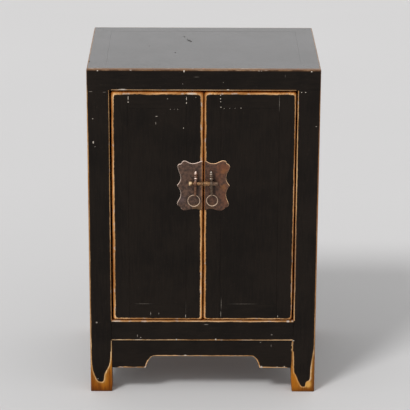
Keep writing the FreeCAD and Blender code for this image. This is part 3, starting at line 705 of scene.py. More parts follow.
def top_rails():
    """The four mitred members of the top frame."""
    near = front + top_member
    far = back - top_member
    inner = half_width - top_member
    low_z = post_top + joint_gap
    nicks = [place * mm for place in (-189.8, -130.7, -35.3, 100.0, 192.7)]
    nick_lines = [nick + step * mm for nick in nicks for step in (-2.4, -1.4, -0.5, 0.5, 1.4, 2.4)]
    # A member is its two corners, and the axis, place and way of its inner face
    rails = {
        "front": ((-half_width, front), (half_width, near), (1, near, -1)),
        "back": ((-half_width, far), (half_width, back), (1, far, 1)),
        "left": ((-half_width, front), (-inner, back), (0, -inner, -1)),
        "right": ((inner, front), (half_width, back), (0, inner, 1)),
    }
    for name, (low, high, inner_face) in rails.items():
        extra = (nick_lines if name == "front" else (), (), ())
        board = Board((*low, low_z), (*high, height), extra=extra)
        points = board.points
        if name in ("front", "back"):
            depth = (points[:, 1] - front) if name == "front" else (back - points[:, 1])
            points[:, 0] *= (half_width - depth - joint_gap) / half_width
            materials = [frame_lacquer, inner_level, top_level_lacquer]
        else:
            depth = half_width - np.abs(points[:, 0])
            middle = (front + back) / 2
            half_depth = (back - front) / 2
            points[:, 1] = middle + (points[:, 1] - middle) * (half_depth - depth - joint_gap) / half_depth
            materials = [frame_side_lacquer, inner_deep, top_deep_lacquer]
        board.round(*inner_face, 2, height, -1, (0.07 if name == "left" else 0.02) * mm)
        cover = top_cover(points)
        if name == "front":
            u = np.maximum(np.abs(points[:, 0]) - half_opening, points[:, 2] - post_top) / mm
            cover = np.minimum(cover, u - 1.2 - 0.4 * (points[:, 1] - front) / mm)
            for nick in nicks:
                reach = np.hypot(points[:, 0] - nick, points[:, 2] - height + 1.2 * mm)
                pushed = np.clip(1 - reach / (2.2 * mm), 0, 1) * (points[:, 1] - front < 2 * mm)
                points[:, 1] += 0.7 * mm * pushed
                points[:, 2] -= 0.4 * mm * pushed
        wobble = 1 + 0.25 * waver(points[:, 0] + points[:, 1], 5.0)
        sides = ((0, -half_width, 1), (0, half_width, -1))
        ends = ((1, front, 1), (1, back, -1))
        for face in sides + ends:
            board.round(*face, 2, height, -1, top_radius * wobble)
        for side_face in sides:
            for end_face in ends:
                board.round(*side_face, *end_face, top_radius)
        if name == "front":
            board.round(1, front, 1, 2, low_z, 1, 0.4 * mm * wobble)

        def material_numbers(middles):
            x, y, z = np.abs(middles[:, 0]), middles[:, 1], middles[:, 2]
            under = z < low_z + 0.01 * mm
            shown = np.abs(y - front) < door_back - front
            edge = (y > back - side_recess) | (x > half_width - side_recess)
            inside = (x < inner + joint_gap) & (y > near - joint_gap) & (y < far + joint_gap)
            hidden = (under & ~shown & ~edge) | (inside & (z < height - 2 * mm))
            return np.where(z > height - 0.01 * mm, 2, hidden)

        board.piece(f"top_rail_{name}", materials, cover, material_numbers)


def top_panel():
    """The panel in the top, a hair below its frame."""
    gap = 0.03 * mm
    drop = 0.02 * mm
    low = (-half_width + top_member + gap, front + top_member + gap, span("top_panel", 2)[0])
    high = (half_width - top_member - gap, back - top_member - gap, height - drop)
    board = Board(low, high, (plain_lines,) * 6, (16 * mm,) * 3)
    board.wear({(face, (2, 1)): 0.04 * mm for face in ((0, 1), (1, 0), (1, 1))})
    x, y, z = board.sharp.T
    sag = drop * (1 + waver(x, 2) * waver(y, 3))
    board.points[:, 2] -= np.where(z > high[2] - 0.1 * mm, sag, 0)
    board.piece("top_panel", [top_level_lacquer, inner_level],
                inner=lambda middles: middles[:, 2] < low[2] + 1 * mm, look="lacquered")


def bottom_rail(name):
    """A bottom rail. The front one is worn along both edges."""
    axis, at_high = {"front": (1, 0), "back": (1, 1), "left": (0, 0), "right": (0, 1)}[name]
    if axis == 1:
        ys = (back - rail_depth, back) if at_high else (front, front + rail_depth)
        low, high = (-half_opening + joint_gap, ys[0]), (half_opening - joint_gap, ys[1])
        material = rail_lacquer
    else:
        xs = (half_width - rail_depth, half_width) if at_high else (-half_width, -(half_width - rail_depth))
        low, high = (xs[0], front + post_size + joint_gap), (xs[1], back - post_size - joint_gap)
        material = deep_lacquer
    board = Board((*low, rail_low), (*high, rail_high))
    board.wear({((axis, at_high), (2, level)): inner_radius for level in (0, 1)}, len(name))
    face = (low, high)[at_high][axis]
    v = np.abs(board.sharp[:, axis] - face) / mm
    z = board.sharp[:, 2] / mm
    cover = np.maximum(z - rail_low / mm, v) - 1.9
    if name == "front":
        cover = np.minimum(cover, (rail_high / mm - z) - 0.4 * v - 1.1)
        flare(board.points)
    else:
        cover = np.minimum(cover, np.maximum(rail_high / mm - z, v) - 0.6)
    hidden_from = (door_back - front) if name == "front" else side_recess

    def interior(middles):
        depth = np.abs(middles[:, axis] - face)
        on_top = middles[:, 2] > rail_high - 0.1 * mm
        return (depth > hidden_from) & ((depth > rail_depth - 0.1 * mm) | on_top)

    board.piece(f"bottom_rail_{name}", [material, inner_level], cover, interior)


def apron_outline():
    """The front apron's lower edge, left to right, as (x, z) in mm."""
    low = span("front_apron", 2)[0] / mm
    rise = arch_rise / mm
    width = arch_step_width / mm
    foot = arch_half_width / mm + width
    corners = [(foot, low), (foot - 0.15 * width, low + 0.55 * rise), (foot - 0.6 * width, low + rise),
               (foot - width, low + rise)]
    step = []
    for part in range(13):
        t = part / 12
        weights = ((1 - t) ** 3, 3 * t * (1 - t) ** 2, 3 * t * t * (1 - t), t ** 3)
        step.append([sum(w * corner[axis] for w, corner in zip(weights, corners)) for axis in (0, 1)])
    left = [(-half_opening / mm, low)] + [(-x, z) for x, z in step]
    return left + [(-x, z) for x, z in reversed(left)]


def front_apron():
    """The front apron, with the stepped arch in its lower edge."""
    outline = apron_outline()
    low_y, high_y = span("front_apron", 1)
    low_z, high_z = outline[0][1] * mm, rail_low - joint_gap
    steps = [x * mm for x, _ in outline[1:-1]] + [step * mm for step in range(-112, 113, 4)]
    board = Board(
        (-half_opening + joint_gap, low_y, low_z), (half_opening - joint_gap, high_y, high_z),
        (plain_lines, plain_lines, worn_lines, worn_lines, worn_lines, plain_lines), extra=(steps, (), ()),
    )
    sharp_x, sharp_y, sharp_z = board.sharp.T
    lift = np.interp(sharp_x / mm, *zip(*outline)) * mm - low_z
    board.points[:, 2] = sharp_z + lift * (1 - (sharp_z - low_z) / (high_z - low_z))
    x, z = board.points[:, 0] / mm, board.points[:, 2] / mm
    distance = np.maximum(curve_distance(x, z, outline), 0)
    depth = (sharp_y - low_y) / mm
    to_right, to_left = half_opening / mm - x, half_opening / mm + x
    whole = 4.0 * np.maximum(np.clip(1.4 - to_left / 8, 0, 1), np.clip(1.6 - to_right / 5, 0, 1))
    cover = np.maximum(distance, depth) - 1.7 - 0.4 * waver(sharp_x, 2.0)
    cover = np.minimum(cover, 0.55 + np.maximum(0, np.minimum(to_right - 4.5, to_left - 1.5)))
    cover += whole * (distance < 10)
    radius = apron_radius / mm
    u = radius - distance
    v = radius - np.minimum(depth, (high_y - low_y) / mm - depth)
    near, left = arris(u, v)
    board.points[:, 2] += np.where(near, (u - u * left) * mm, 0)
    board.points[:, 1] += np.where(near, np.where(depth < radius, 1, -1) * (v - v * left) * mm, 0)
    flare(board.points)
    board.piece("front_apron", [level_lacquer], cover)


def side_apron(side):
    """A straight apron under a side rail."""
    name = f"side_apron_{side_names[side]}"
    xs = span(name, 0)
    low = (xs[0], front + post_size + joint_gap, span(name, 2)[0])
    board = Board(low, (xs[1], back - post_size - joint_gap, rail_low - joint_gap))
    board.wear({((0, end), (2, 0)): inner_radius for end in (0, 1)}, 4 + side)
    depth = np.abs(board.sharp[:, 0] - xs[int(side > 0)]) / mm
    board.piece(name, [deep_lacquer], np.maximum((board.sharp[:, 2] - low[2]) / mm, depth) - 1.2)


def side_panel(side):
    """A side panel, lacquered outside."""
    name = f"side_panel_{side_names[side]}"
    xs = span(name, 0)
    low = (xs[0], front + post_size - 1 * mm, rail_high - 1 * mm)
    high = (xs[1], back - post_size + 1 * mm, post_top + 1 * mm)
    board = Board(low, high, (plain_lines,) * 6, (30 * mm,) * 3)
    board.wear()
    outer = xs[int(side > 0)]
    board.piece(name, [upright_lacquer, inner_upright],
                inner=lambda middles: np.abs(middles[:, 0] - outer) > 5 * mm, look="lacquered")


# Doors


def door(side):
    """A door leaf: two stiles, two rails and a panel, worn along the leaf's outline."""
    name = f"{side_names[side]}_door"
    outer, inner = door_outer, door_inner
    far_stile, near_stile = outer - stile_width, inner + stile_width
    low_rail, high_rail = door_low + door_rail_width, door_high - door_rail_width
    parts = {
        "outer_stile": (far_stile, outer, door_low, door_high),
        "inner_stile": (inner, near_stile, door_low, door_high),
        "top_rail": (near_stile, far_stile, high_rail, door_high),
        "bottom_rail": (near_stile, far_stile, door_low, low_rail),
        "panel": (near_stile, far_stile, low_rail, high_rail),
    }
    outer_face, inner_face = (0, int(side > 0)), (0, int(side < 0))
    outer_width, inner_width = (4.1, 4.1) if side < 0 else (2.2, 3.4)
    for part, (near, far, low_z, high_z) in parts.items():
        near += joint_gap if near > inner else 0
        far -= joint_gap if far < outer else 0
        low_z += joint_gap if low_z > door_low else 0
        high_z -= joint_gap if high_z < door_high else 0
        xs = sorted((side * near, side * far))
        depth = span(f"{name}_panel", 1)[1] if part == "panel" else door_back
        spacing = (24 * mm,) * 3 if part == "panel" else (8 * mm, 12 * mm, 8 * mm)
        board = Board((xs[0], door_face, low_z), (xs[1], depth, high_z), spacing=spacing)
        rounds = {}
        if part.endswith("stile"):
            edge = outer_face if part == "outer_stile" else inner_face
            rounds = {(edge, face): leaf_radius for face in ((1, 0), (1, 1), (2, 0), (2, 1))}
        if part == "inner_stile":
            rounds[(edge, (1, 0))] = meeting_radius
        for level, rail in enumerate(("bottom_rail", "top_rail")):
            if part.endswith("stile") or part == rail:
                rounds.update({((1, end), (2, level)): leaf_radius for end in (0, 1)})
        board.wear(rounds, 13 + 3 * side)

        x, y, z = (board.sharp / mm).T
        to_outer = outer / mm - side * x
        to_inner = side * x - inner / mm
        corner = 5.0
        a = corner - np.minimum(to_outer - outer_width, to_inner - inner_width)
        b = corner - np.minimum(door_high / mm - z - 4.6, z - door_low / mm - 3.4)
        outline = corner - np.hypot(np.maximum(a, 0), np.maximum(b, 0)) - np.minimum(np.maximum(a, b), 0)
        cover = outline - np.minimum(y - door_face / mm, depth / mm - y)
        if part == "inner_stile" and side < 0:
            lean = np.interp(z, (340, 400, door_high / mm), (0.1, 0.9, 1.1)) * mm
            board.points[:, 0] += lean * np.clip(1 - to_inner / 10, 0, 1)
        if part == "outer_stile" and side > 0:
            board.points[:, 0] -= np.interp(z, (door_low / mm, 400), (0.9, 0.0)) * mm * (to_outer < 10)
        material = level_lacquer if part.endswith("rail") else upright_lacquer
        board.piece(f"{name}_{part}", [material], cover, body=name)


for side in (-1, 1):
    for end in (-1, 1):
        post(side, end)
    side_apron(side)
    side_panel(side)
    door(side)
top_rails()
top_panel()
for rail_name in ("front", "back", "left", "right"):
    bottom_rail(rail_name)
front_apron()


# Hardware


class Shell:
    """A piece made of closed parts, each point with its share of rubbed wear and painted highlight."""

    def __init__(self):
        self.points = []
        self.faces = []
        self.rub_and_highlight_shares = []
        self.kinds = []

    def add(self, points, faces, rub_and_highlight=0.0, kind=0):
        start = len(self.points)
        self.points += [tuple(point) for point in points]
        self.faces += [[start + corner for corner in face] for face in faces]
        self.rub_and_highlight_shares += list(rub_and_highlight) if hasattr(rub_and_highlight, "__len__") else [rub_and_highlight] * len(points)
        self.kinds += [kind] * len(faces)

    def turned(self, profile, centre, axis, segments=32, relief=None, rub_and_highlight=0.0, kind=0):
        """Turns a profile of (along, radius) round an axis. relief(along, angle, radius) goes inward,
        and rub is a share or a function of along."""
        along_axis = Vector(axis).normalized()
        first = along_axis.orthogonal().normalized()
        if abs(along_axis.x) > 0.9:
            first = Vector((0, 0, 1))
        second = along_axis.cross(first)
        points = []
        for along, radius in profile:
            for angle in turns(segments):
                depth = relief(along, angle, radius) if relief else 0.0
                reach = max(radius - depth, 0.02 * mm)
                offset = first * (math.cos(angle) * reach) + second * (math.sin(angle) * reach)
                points.append(Vector(centre) + along_axis * along + offset)
        faces = tube_faces(len(profile), segments)
        ends = (profile[0][0], profile[-1][0])
        for ring, along in zip((0, len(profile) - 1), ends):
            points.append(Vector(centre) + along_axis * along)
            faces += fan(ring * segments, segments, len(points) - 1)
        if callable(rub_and_highlight):
            places = [along for along, _ in profile for step in range(segments)]
            rub_and_highlight = [rub_and_highlight(along) for along in (*places, *ends)]
        self.add(points, faces, rub_and_highlight, kind)

    def hoop(self, centre, section, segments=40, rub_and_highlight=0.0):
        """Turns a closed section of (along, radius) round the direction of x."""
        points = []
        for angle in turns(segments):
            outward = Vector((0, -math.sin(angle), math.cos(angle)))
            for along, radius in section:
                points.append(Vector(centre) + Vector((along, 0, 0)) + outward * radius)
        self.add(points, tube_faces(segments, len(section), closed=True), rub_and_highlight)

    def swept(self, path, sections, sides=12):
        """Sweeps ovals along a path in a plane of constant x. Each has its two half sizes."""
        points = []
        for index, (wide, high) in enumerate(sections):
            before, after = path[max(index - 1, 0)], path[min(index + 1, len(path) - 1)]
            along = (Vector(after) - Vector(before)).normalized()
            normal = along.cross(Vector((1, 0, 0))).normalized()
            for angle in turns(sides):
                offset = Vector((1, 0, 0)) * (math.cos(angle) * wide) + normal * (math.sin(angle) * high)
                points.append(Vector(path[index]) + offset)
        ends = [[ring * sides + step for step in range(sides)] for ring in (0, len(path) - 1)]
        self.add(points, tube_faces(len(path), sides) + ends)

    def piece(self, name, node, body, slot, materials, highlight_side=(0, 0, 0)):
        """Makes the piece for a node. Faces turned towards the direction given last are made brighter: a
        painted highlight.
        """
        mesh = bpy.data.meshes.new(name)
        mesh.from_pydata(self.points, [], self.faces)
        mesh.polygons.foreach_set("material_index", self.kinds)
        finish_piece(mesh, body, materials, node)
        normals = np.array([tuple(vertex.normal) for vertex in mesh.vertices])
        # Faces turned towards the given direction get more brightness: painted highlight on top of the
        # rubbed wear
        add_attribute(mesh, "rub_and_highlight", np.array(self.rub_and_highlight_shares) + np.clip(normals @ np.array(highlight_side), 0, 1))


def sized(profile, start=0.0, thick=1.0):
    """A profile of (along, radius) in mm, from a start in metres, and thicker by a factor."""
    return [(start + along * mm, radius * thick * mm) for along, radius in profile]


def bead(low, high, base, crest, steps=6):
    """Profile points of a rounded swelling between two heights."""
    shares = [step / steps for step in range(steps + 1)]
    return [(low + (high - low) * s, base + (crest - base) * math.sin(math.pi * s)) for s in shares]


def smooth_line(points, steps):
    """A rounded line through points: a Catmull-Rom curve."""
    line = []
    last = len(points) - 1
    for index in range(last):
        quad = [points[min(max(index + shift, 0), last)] for shift in (-1, 0, 1, 2)]
        for step in range(steps):
            t = step / steps
            weights = (
                -0.5 * t + t * t - 0.5 * t ** 3, 1 - 2.5 * t * t + 1.5 * t ** 3,
                0.5 * t + 2 * t * t - 1.5 * t ** 3, -0.5 * t * t + 0.5 * t ** 3,
            )
            line.append(tuple(sum(w * p[axis] for w, p in zip(weights, quad)) for axis in (0, 1)))
    return line + [tuple(points[-1])]


# Outline of each half of the face plate, top to bottom, in mm from the middle of the plate
plate_outlines = {
    -1: [
        (-2.2, 47.4), (-8.5, 44.8), (-16.5, 42.4), (-24.5, 43.2), (-30.6, 46.4), (-35.0, 47.2),
        (-38.6, 45.2), (-40.6, 41.8), (-44.6, 40.8), (-46.8, 37.2), (-45.6, 30.0), (-42.6, 21.5),
        (-41.4, 13.0), (-43.8, 6.0), (-47.6, 0.2), (-44.0, -5.6), (-41.4, -13.5), (-42.2, -22.0),
        (-45.6, -28.6), (-47.8, -34.4), (-45.6, -39.0), (-41.6, -41.6), (-39.4, -45.6), (-34.4, -47.8),
        (-25.0, -46.2), (-15.0, -44.8), (-7.5, -46.2), (-2.2, -47.6),
    ],
    1: [
        (2.6, 47.6), (7.0, 45.6), (12.6, 42.8), (21.5, 42.4), (28.6, 45.4), (34.8, 47.8), (40.4, 46.8),
        (42.4, 42.6), (46.0, 40.4), (48.0, 36.0), (46.4, 30.0), (42.8, 22.4), (41.6, 13.0), (44.0, 5.4),
        (47.8, -0.4), (44.2, -6.2), (41.4, -14.0), (42.0, -23.0), (44.8, -30.4), (46.4, -36.0),
        (44.6, -41.0), (39.8, -42.2), (37.4, -46.0), (32.6, -48.0), (24.6, -47.2), (15.4, -44.6),
        (8.0, -45.6), (2.6, -47.4),
    ],
}


def face_plate(side):
    """Half of the scalloped plate: dished back a little along its rim, and unevenly beaten."""
    name = f"{side_names[side]}_face_plate"
    low_y, high_y = span(name, 1)
    middle_z = sum(span(name, 2)) / 2
    outline = smooth_line(plate_outlines[side], 5)
    rim_count = len(outline)
    straight = [(outline[-1][0], z) for z in np.linspace(outline[-1][1], outline[0][1], 26)[1:-1]]
    loop = np.array(outline + straight)
    count = len(loop)
    tangent = np.roll(loop, -1, axis=0) - np.roll(loop, 1, axis=0)
    tangent /= np.maximum(np.hypot(*tangent.T), 1e-6)[:, None]
    inward = np.stack([tangent[:, 1], -tangent[:, 0]], axis=1)
    centre = np.array([side * 22.0, 0.0])
    if ((centre - loop[5]) @ inward[5]) < 0:
        inward = -inward
    inward[0] = (side * 0.7, -0.7)
    inward[rim_count - 1] = (side * 0.7, 0.7)
    on_rim = np.arange(count) < rim_count

    # A ring is its outline, how far it lies back in mm, and how much of the rim's rubbed wear and painted
    # highlight it has
    rings = [(loop, np.where(on_rim, 0.70, 0.15), 1.0)]
    for offset, drop, light in ((0.35, 0.42, 0.95), (0.9, 0.22, 0.45), (1.6, 0.08, 0.0)):
        rings.append((loop + inward * offset, np.where(on_rim, drop, 0.0), light))
    for share in (0.88, 0.74, 0.6, 0.46, 0.32, 0.18):
        rings.append((centre + (rings[3][0] - centre) * share, np.zeros(count), 0.0))
    # Rims facing up and sideways, and the straight inner edge, are made brighter: rubbed wear with a painted
    # highlight
    up = -inward[:, 1]
    aside = np.abs(inward[:, 0]) * (0.62 if side < 0 else 0.5)
    rim_wear_and_highlight = np.clip(0.1 + np.maximum(up, 0) * 0.95 + aside * (up > -0.6), 0, 1.1)
    rim_wear_and_highlight = np.where(on_rim, rim_wear_and_highlight, 0.35)
    points, rub_and_highlight = [], []
    for ring, drop, light in rings:
        x, z = ring.T * mm
        beaten = 0.10 + 0.05 * waver(x * 3 + z, 3.0) + 0.05 * waver(z * 3 - x, 8.0)
        depth = np.maximum(drop, 0.0 if light else beaten)
        points += [(x * mm, low_y + d * mm, middle_z + z * mm) for (x, z), d in zip(ring, depth)]
        rub_and_highlight += list(rim_wear_and_highlight * light)
    faces = tube_faces(len(rings), count)
    points.append((centre[0] * mm, low_y + 0.1 * mm, middle_z))
    faces += fan((len(rings) - 1) * count, count, len(points) - 1)
    start = len(points)
    points += [(x * mm, high_y, middle_z + z * mm) for x, z in loop]
    faces += [[step, (step + 1) % count, start + (step + 1) % count, start + step] for step in range(count)]
    points.append((centre[0] * mm, high_y, middle_z))
    faces += fan(start, count, len(points) - 1)
    shell = Shell()
    shell.add(points, faces, rub_and_highlight + [0.0] * (len(points) - len(rub_and_highlight)))
    shell.piece(f"beaten_{name}", name, f"{side_names[side]}_door", "plate_bronze", [plate_bronze[side]])


# Finials, as (height over the pin, radius) in mm
finial_foot = [
    (4.9, 2.2), (5.6, 2.5), (6.1, 2.0), (6.9, 1.9), (7.6, 2.1), *bead(7.9, 10.9, 2.5, 3.3),
    (11.3, 2.3), (11.9, 2.0), (12.6, 2.3),
]
finials = {
    -1: finial_foot + bead(12.9, 14.7, 2.7, 3.0, 4) + [
        (15.6, 3.2), (17.0, 3.5), (18.6, 3.4), (20.2, 2.9), (21.8, 2.2), (23.2, 1.4), (24.0, 0.6)],
    1: finial_foot + bead(12.9, 15.4, 2.6, 3.2, 4) + bead(15.8, 19.0, 2.5, 3.5, 5) + bead(
        19.4, 22.0, 2.2, 3.0, 5) + [(22.5, 1.6), (23.6, 1.1), (24.2, 0.4)],
}

# A lug's head round the pin, as (along, radius) in mm, and its neck, as (share of its length, radius)
lug_head = [
    (-2.5, 4.12), (-2.5, 4.6), (-2.1, 5.3), (-1.4, 5.6), (1.4, 5.6), (2.1, 5.3), (2.5, 4.6), (2.5, 4.12),
    (2.2, 3.82), (-2.2, 3.82),
]
lug_neck = [
    (0, 2.7), (0.04, 2.5), (0.10, 2.0), (0.16, 2.4), (0.24, 2.45), (0.34, 2.1), (0.55, 2.0),
    (0.78, 1.9), (0.86, 2.2), (0.92, 2.2), (0.97, 1.7), (1.0, 1.5),
]

# Half width and half height of a clinched leg at each point of its path, in mm
leg_sections = [
    (1.9, 0.9), (1.9, 0.9), (1.9, 0.9), (1.8, 0.8), (1.7, 0.7), (1.6, 0.6), (1.6, 0.6), (1.6, 0.58),
    (1.6, 0.56), (1.5, 0.5), (1.2, 0.45), (0.5, 0.3),
]


def pull_lug(side):
    """A lug: finial, head round the pin, neck, ring eye, shank, and legs clinched behind the stile."""
    node = f"{side_names[side]}_lug"
    x = sum(span(node, 0)) / 2
    finial_shift, finial_thick, finial_rub, neck_thick = {
        -1: (1.1, 1.08, -0.02, 1.1), 1: (-0.3, 1.16, -0.30, 1.3)}[side]
    shell = Shell()

    def hammered(along, angle, radius):
        return 0.10 * mm * (1 + math.sin(along / mm * 2.3 + angle * 2 + side))

    finial_place = (x + finial_shift * mm, pin_axis.y, pin_axis.z)
    shell.turned(sized(finials[side], thick=finial_thick), finial_place, (0, 0, 1), relief=hammered,
                 rub_and_highlight=finial_rub)
    shell.hoop((x, pin_axis.y, pin_axis.z), sized(lug_head), rub_and_highlight=-0.6)
    neck_top = Vector((x, pin_axis.y, pin_axis.z - 5.0 * mm))
    neck_low = Vector((x, ring_eye.y, ring_eye.z + 2.6 * mm))
    length = (neck_low - neck_top).length
    neck = smooth_line([(share * length, radius * neck_thick * mm) for share, radius in lug_neck], 2)
    shell.turned(neck, neck_top, neck_low - neck_top, 24, hammered, -0.25)
    eye = [(1.5 * math.cos(angle), 2.5 + 0.7 * math.sin(angle)) for angle in turns(12)]
    shell.hoop((x, ring_eye.y, ring_eye.z), sized(eye), 32, -0.45)

    # A leg, as (y, distance from the pin's height in mm)
    bend = 1.8
    bend_start = door_back - 1.2 * mm
    leg = [(pin_axis.y + 4.6 * mm, 0.9), (door_face, 0.9), (bend_start, 0.9)]
    for step in range(1, 5):
        angle = math.pi / 2 * step / 4
        leg.append((bend_start + bend * mm * math.sin(angle), 0.9 + bend * (1 - math.cos(angle))))
    leg += [(door_back + 0.6 * mm, reach) for reach in (5.0, 8.0, 11.0, 13.0)]
    leg.append((door_back + 0.45 * mm, 14.0))
    for way in (1, -1):
        path = [(x, y, pin_axis.z + way * reach * mm) for y, reach in leg]
        shell.swept(path, [(wide * mm, high * mm) for wide, high in leg_sections])
    shell.piece(f"forged_{node}", node, f"{side_names[side]}_door", "lug_bronze", [lug_bronze[side]],
                (-0.25, -0.30, 0.85))


def pull_ring(side):
    """A wire ring, bent round by hand, with the seam where its ends meet."""
    node = f"{side_names[side]}_ring"
    low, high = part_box(node)
    centre = (low + high) / 2
    wire = (high.y - low.y) / 2
    radius = (high.x - low.x) / 2 - wire
    wire *= 0.78
    if side > 0:
        centre += Vector((0.3, 0, 0.7)) * mm
        radius -= 0.6 * mm
    seam = math.radians(62 if side < 0 else 118)
    segments, sides = 96, 14
    points = []
    for angle in turns(segments):
        near_seam = math.exp(-((angle - seam) / 0.035) ** 2)
        thin = wire * (1 - 0.05 * (1 + math.sin(angle * 3 + side)) - 0.22 * near_seam)
        bent = radius - 0.10 * mm * (1 + math.sin(angle * 2 + 1.3 * side))
        for turn in turns(sides):
            reach = bent + thin * math.cos(turn)
            points.append((centre.x + reach * math.cos(angle), centre.y + thin * math.sin(turn),
                           centre.z + reach * math.sin(angle)))
    low_share = (centre.z + radius - np.array(points)[:, 2]) / (2 * radius)
    shell = Shell()
    shell.add(points, tube_faces(segments, sides, closed=True), 0.12 + 0.28 * low_share)
    shell.piece(f"bent_{node}", node, node, "ring_bronze", [ring_bronze], (-0.1, -0.45, 0.35))


def door_pivots(side):
    """The round pivots on the two ends of a leaf's outer stile."""
    name = f"{side_names[side]}_door"
    node = f"{name}_outer_stile"
    low_z, high_z = span(node, 2)
    x, y, _ = joints[f"{name}_pivot"]["pos_m"]
    rooted = 3.0 * mm
    radius = 5.0 * mm
    shell = Shell()
    for way, root, end in ((1, door_high - rooted, high_z), (-1, door_low + rooted, low_z)):
        length = abs(end - root)
        profile = [(0, radius), (rooted, radius), (length - 0.8 * mm, radius), (length, radius - 0.6 * mm)]
        shell.turned(profile, (x, y, root), (0, 0, way), 40)
    shell.piece(f"turned_{name}_pivots", node, name, "inner_wood", [inner_upright])


def twist(along, angle, radius):
    """Depth of the leaf-like twisted grooves of the pin and its socket, alike at any radius."""
    ridge = 0.5 + 0.5 * math.sin(3 * angle + 2 * math.pi * along / (6.2 * mm))
    return 0.45 * mm * ridge ** 2


# The pin's flared head, and the stub of its socket, as (along, radius) in mm
pin_head = [
    (0.0, 2.4), (0.15, 3.3), (0.5, 3.9), (1.1, 4.1), (2.4, 4.0), (4.4, 3.9), (5.6, 3.8), (6.0, 3.5),
    (6.1, 2.8),
]
socket_stub = [
    (0.0, 3.3), (0.1, 3.9), (0.9, 4.0), (1.4, 3.6), (2.0, 3.55), (5.2, 3.7), (5.8, 3.95), (7.4, 4.0),
    (8.1, 3.7), (8.45, 3.1), (8.5, 2.2),
]
sideways = (1, 0, 0)


def lock_pin():
    """The pin: a flared head, a plain neck through the left lug, and a twisted body."""
    lug_low, lug_high = span("left_lug", 0)
    head_low, tip = pin_low.x + 1.5 * mm, pin_high.x
    shell = Shell()
    # The head is brightest at its left end and dimmer to the right: painted highlight
    shell.turned(sized(pin_head, head_low), pin_axis, sideways, 40,
                 rub_and_highlight=lambda along: 0.85 - 0.16 * (along - head_low) / mm)
    neck_radius = 2.3 * mm
    neck = [(head_low + 5.8 * mm, neck_radius), (lug_low + 5.0 * mm, neck_radius)]
    shell.turned(neck, pin_axis, sideways, rub_and_highlight=-0.6)
    body = []
    hidden_end = 0.2 * mm
    body_low = lug_high - hidden_end
    count = 44
    for step in range(count + 1):
        share = step / count
        swell = 3.05 + 0.65 * math.sin(math.pi / 2 * min(1, share * 1.4))
        if share > 0.96:
            swell -= 12.5 * (share - 0.96)
        body.append((body_low + (tip - body_low) * share, swell * mm))
    shell.turned(body, pin_axis, sideways, 48, twist, -0.3)
    shell.piece("twisted_lock_pin", "lock_pin", "lock_pin", "pin_brass", [pin_brass], (-0.2, -0.35, 0.6))


def pin_socket():
    """The socket on the right lug: a twisted sleeve, and a plain stub past the lug."""
    low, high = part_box("pin_socket")
    lug_low, lug_high = span("right_lug", 0)
    sleeve = (high.z - low.z) / 2
    outer = []
    count = 36
    for step in range(count + 1):
        share = step / count
        radius = sleeve - 0.9 * mm * max(0, share - 0.55) / 0.45 - (0.3 * mm if step == 0 else 0)
        outer.append((low.x + (lug_low + 0.4 * mm - low.x) * share, radius))
    bore = [(low.x + 0.15 * mm, 3.95 * mm), (low.x + 9.0 * mm, 3.8 * mm)]

    def grooves(along, angle, radius):
        """The twist, which fades out where the sleeve narrows, and stops at its mouth."""
        if along <= low.x or (along, radius) in bore:
            return 0.0
        return twist(along, angle, radius) * min(1.0, (radius - 3.85 * mm) / (0.85 * mm) + 0.05)

    shell = Shell()
    shell.turned(outer[::-1] + bore, pin_axis, sideways, 48, grooves, -0.3)
    bridge = [(lug_low, 3.7 * mm), (lug_high + 0.6 * mm, 3.7 * mm)]
    shell.turned(bridge, pin_axis, sideways, rub_and_highlight=-0.3, kind=1)
    shell.turned(sized(socket_stub, lug_high), pin_axis, sideways, 40, rub_and_highlight=-0.3, kind=1)
    shell.piece("twisted_pin_socket", "pin_socket", "right_door", "pin_brass", [pin_brass, stub_bronze],
                (-0.2, -0.30, 0.5))


for side in (-1, 1):
    face_plate(side)
    pull_lug(side)
    pull_ring(side)
    door_pivots(side)
lock_pin()
pin_socket()

# Inner pieces keep their CAD shapes
inner_pieces = {
    inner_level: ("bottom_board", "shelf", "door_stop_top", "door_stop_bottom"),
    inner_deep: ("shelf_bearer_left", "shelf_bearer_right", "top_cleat_left", "top_cleat_right"),
    back_wood: ("back_panel",),
}
for material, nodes in inner_pieces.items():
    for node in nodes:
        slots = frame["nodes"][node].data.materials
        slots.clear()
        slots.append(material)


# Camera, lights and studio

camera_place = Vector((-0.01478, -3.69052, 1.55753))
camera_yaw, camera_pitch, camera_roll = 5.079e-3, 0.323974, 4.096e-3
camera_lens = 179.52
camera_sensor = 36.0


def show(name, data):
    """An object in the scene with this data."""
    shown = bpy.data.objects.new(name, data)
    bpy.context.scene.collection.objects.link(shown)
    return shown


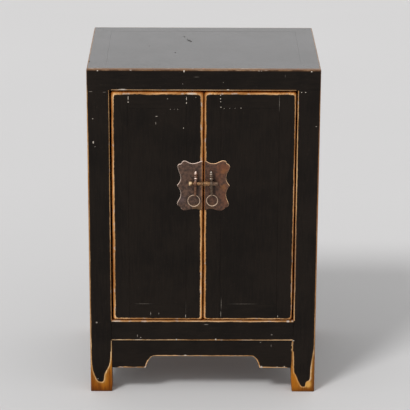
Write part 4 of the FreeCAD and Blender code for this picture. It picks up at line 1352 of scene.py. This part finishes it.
def add_camera():
    """The camera, at the viewing angle of the reference."""
    ahead = Vector((
        math.sin(camera_yaw) * math.cos(camera_pitch),
        math.cos(camera_yaw) * math.cos(camera_pitch),
        -math.sin(camera_pitch),
    ))
    level = Vector((math.cos(camera_yaw), -math.sin(camera_yaw), 0))
    upward = level.cross(ahead)
    right = level * math.cos(camera_roll) + upward * math.sin(camera_roll)
    top = upward * math.cos(camera_roll) - level * math.sin(camera_roll)
    data = bpy.data.cameras.new("camera")
    data.lens = camera_lens
    data.sensor_width = camera_sensor
    camera = show("camera", data)
    turn = Matrix((right, top, -ahead)).transposed().to_4x4()
    camera.matrix_world = Matrix.Translation(camera_place) @ turn
    bpy.context.scene.camera = camera


def add_light(name, turn, lift, angle, strength):
    """A soft far light: its turn round the object from the front, its height angle and its width."""
    data = bpy.data.lights.new(name, "SUN")
    data.energy = strength
    data.angle = math.radians(angle)
    turn, lift = math.radians(turn), math.radians(lift)
    toward = Vector((math.sin(turn) * math.cos(lift), -math.cos(turn) * math.cos(lift), math.sin(lift)))
    show(name, data).matrix_world = toward.to_track_quat("Z", "Y").to_matrix().to_4x4()


def add_floor():
    """A wide pale floor."""
    reach = 9.0
    mesh = bpy.data.meshes.new("floor")
    corners = [(-reach, -reach, 0), (reach, -reach, 0), (reach, reach, 0), (-reach, reach, 0)]
    mesh.from_pydata(corners, [], [(0, 1, 2, 3)])
    shader = Shader("floor")
    colour = shader.mix(shader.noise(900), (203, 202, 202), (208, 207, 207))
    mesh.materials.append(shader.finish(colour, 0.9))
    show("floor", mesh)


def add_world():
    """Plain surroundings: pale where they are seen or mirrored, softer as a source of light."""
    world = bpy.data.worlds.new("studio")
    world.use_nodes = True
    tree = world.node_tree
    rays = add_node(tree, "LightPath", {}).outputs
    mirrored = add_node(
        tree, "Math", {0: rays["Is Glossy Ray"], 1: rays["Is Transmission Ray"]}, operation="MAXIMUM")
    seen = add_node(tree, "Math", {0: rays["Is Camera Ray"], 1: mirrored.outputs[0]}, operation="MAXIMUM")
    strength = add_node(tree, "MapRange", {"Value": seen.outputs[0], "To Min": 0.66, "To Max": 1.0})
    background = tree.nodes["Background"]
    background.inputs["Color"].default_value = (1, 1, 1, 1)
    tree.links.new(strength.outputs[0], background.inputs["Strength"])
    bpy.context.scene.world = world


add_camera()
add_light("key", -38, 50, 14, 1.6)
add_light("fill", 50, 35, 50, 0.12)
add_floor()
add_world()
bpy.context.scene.view_settings.view_transform = "Standard"
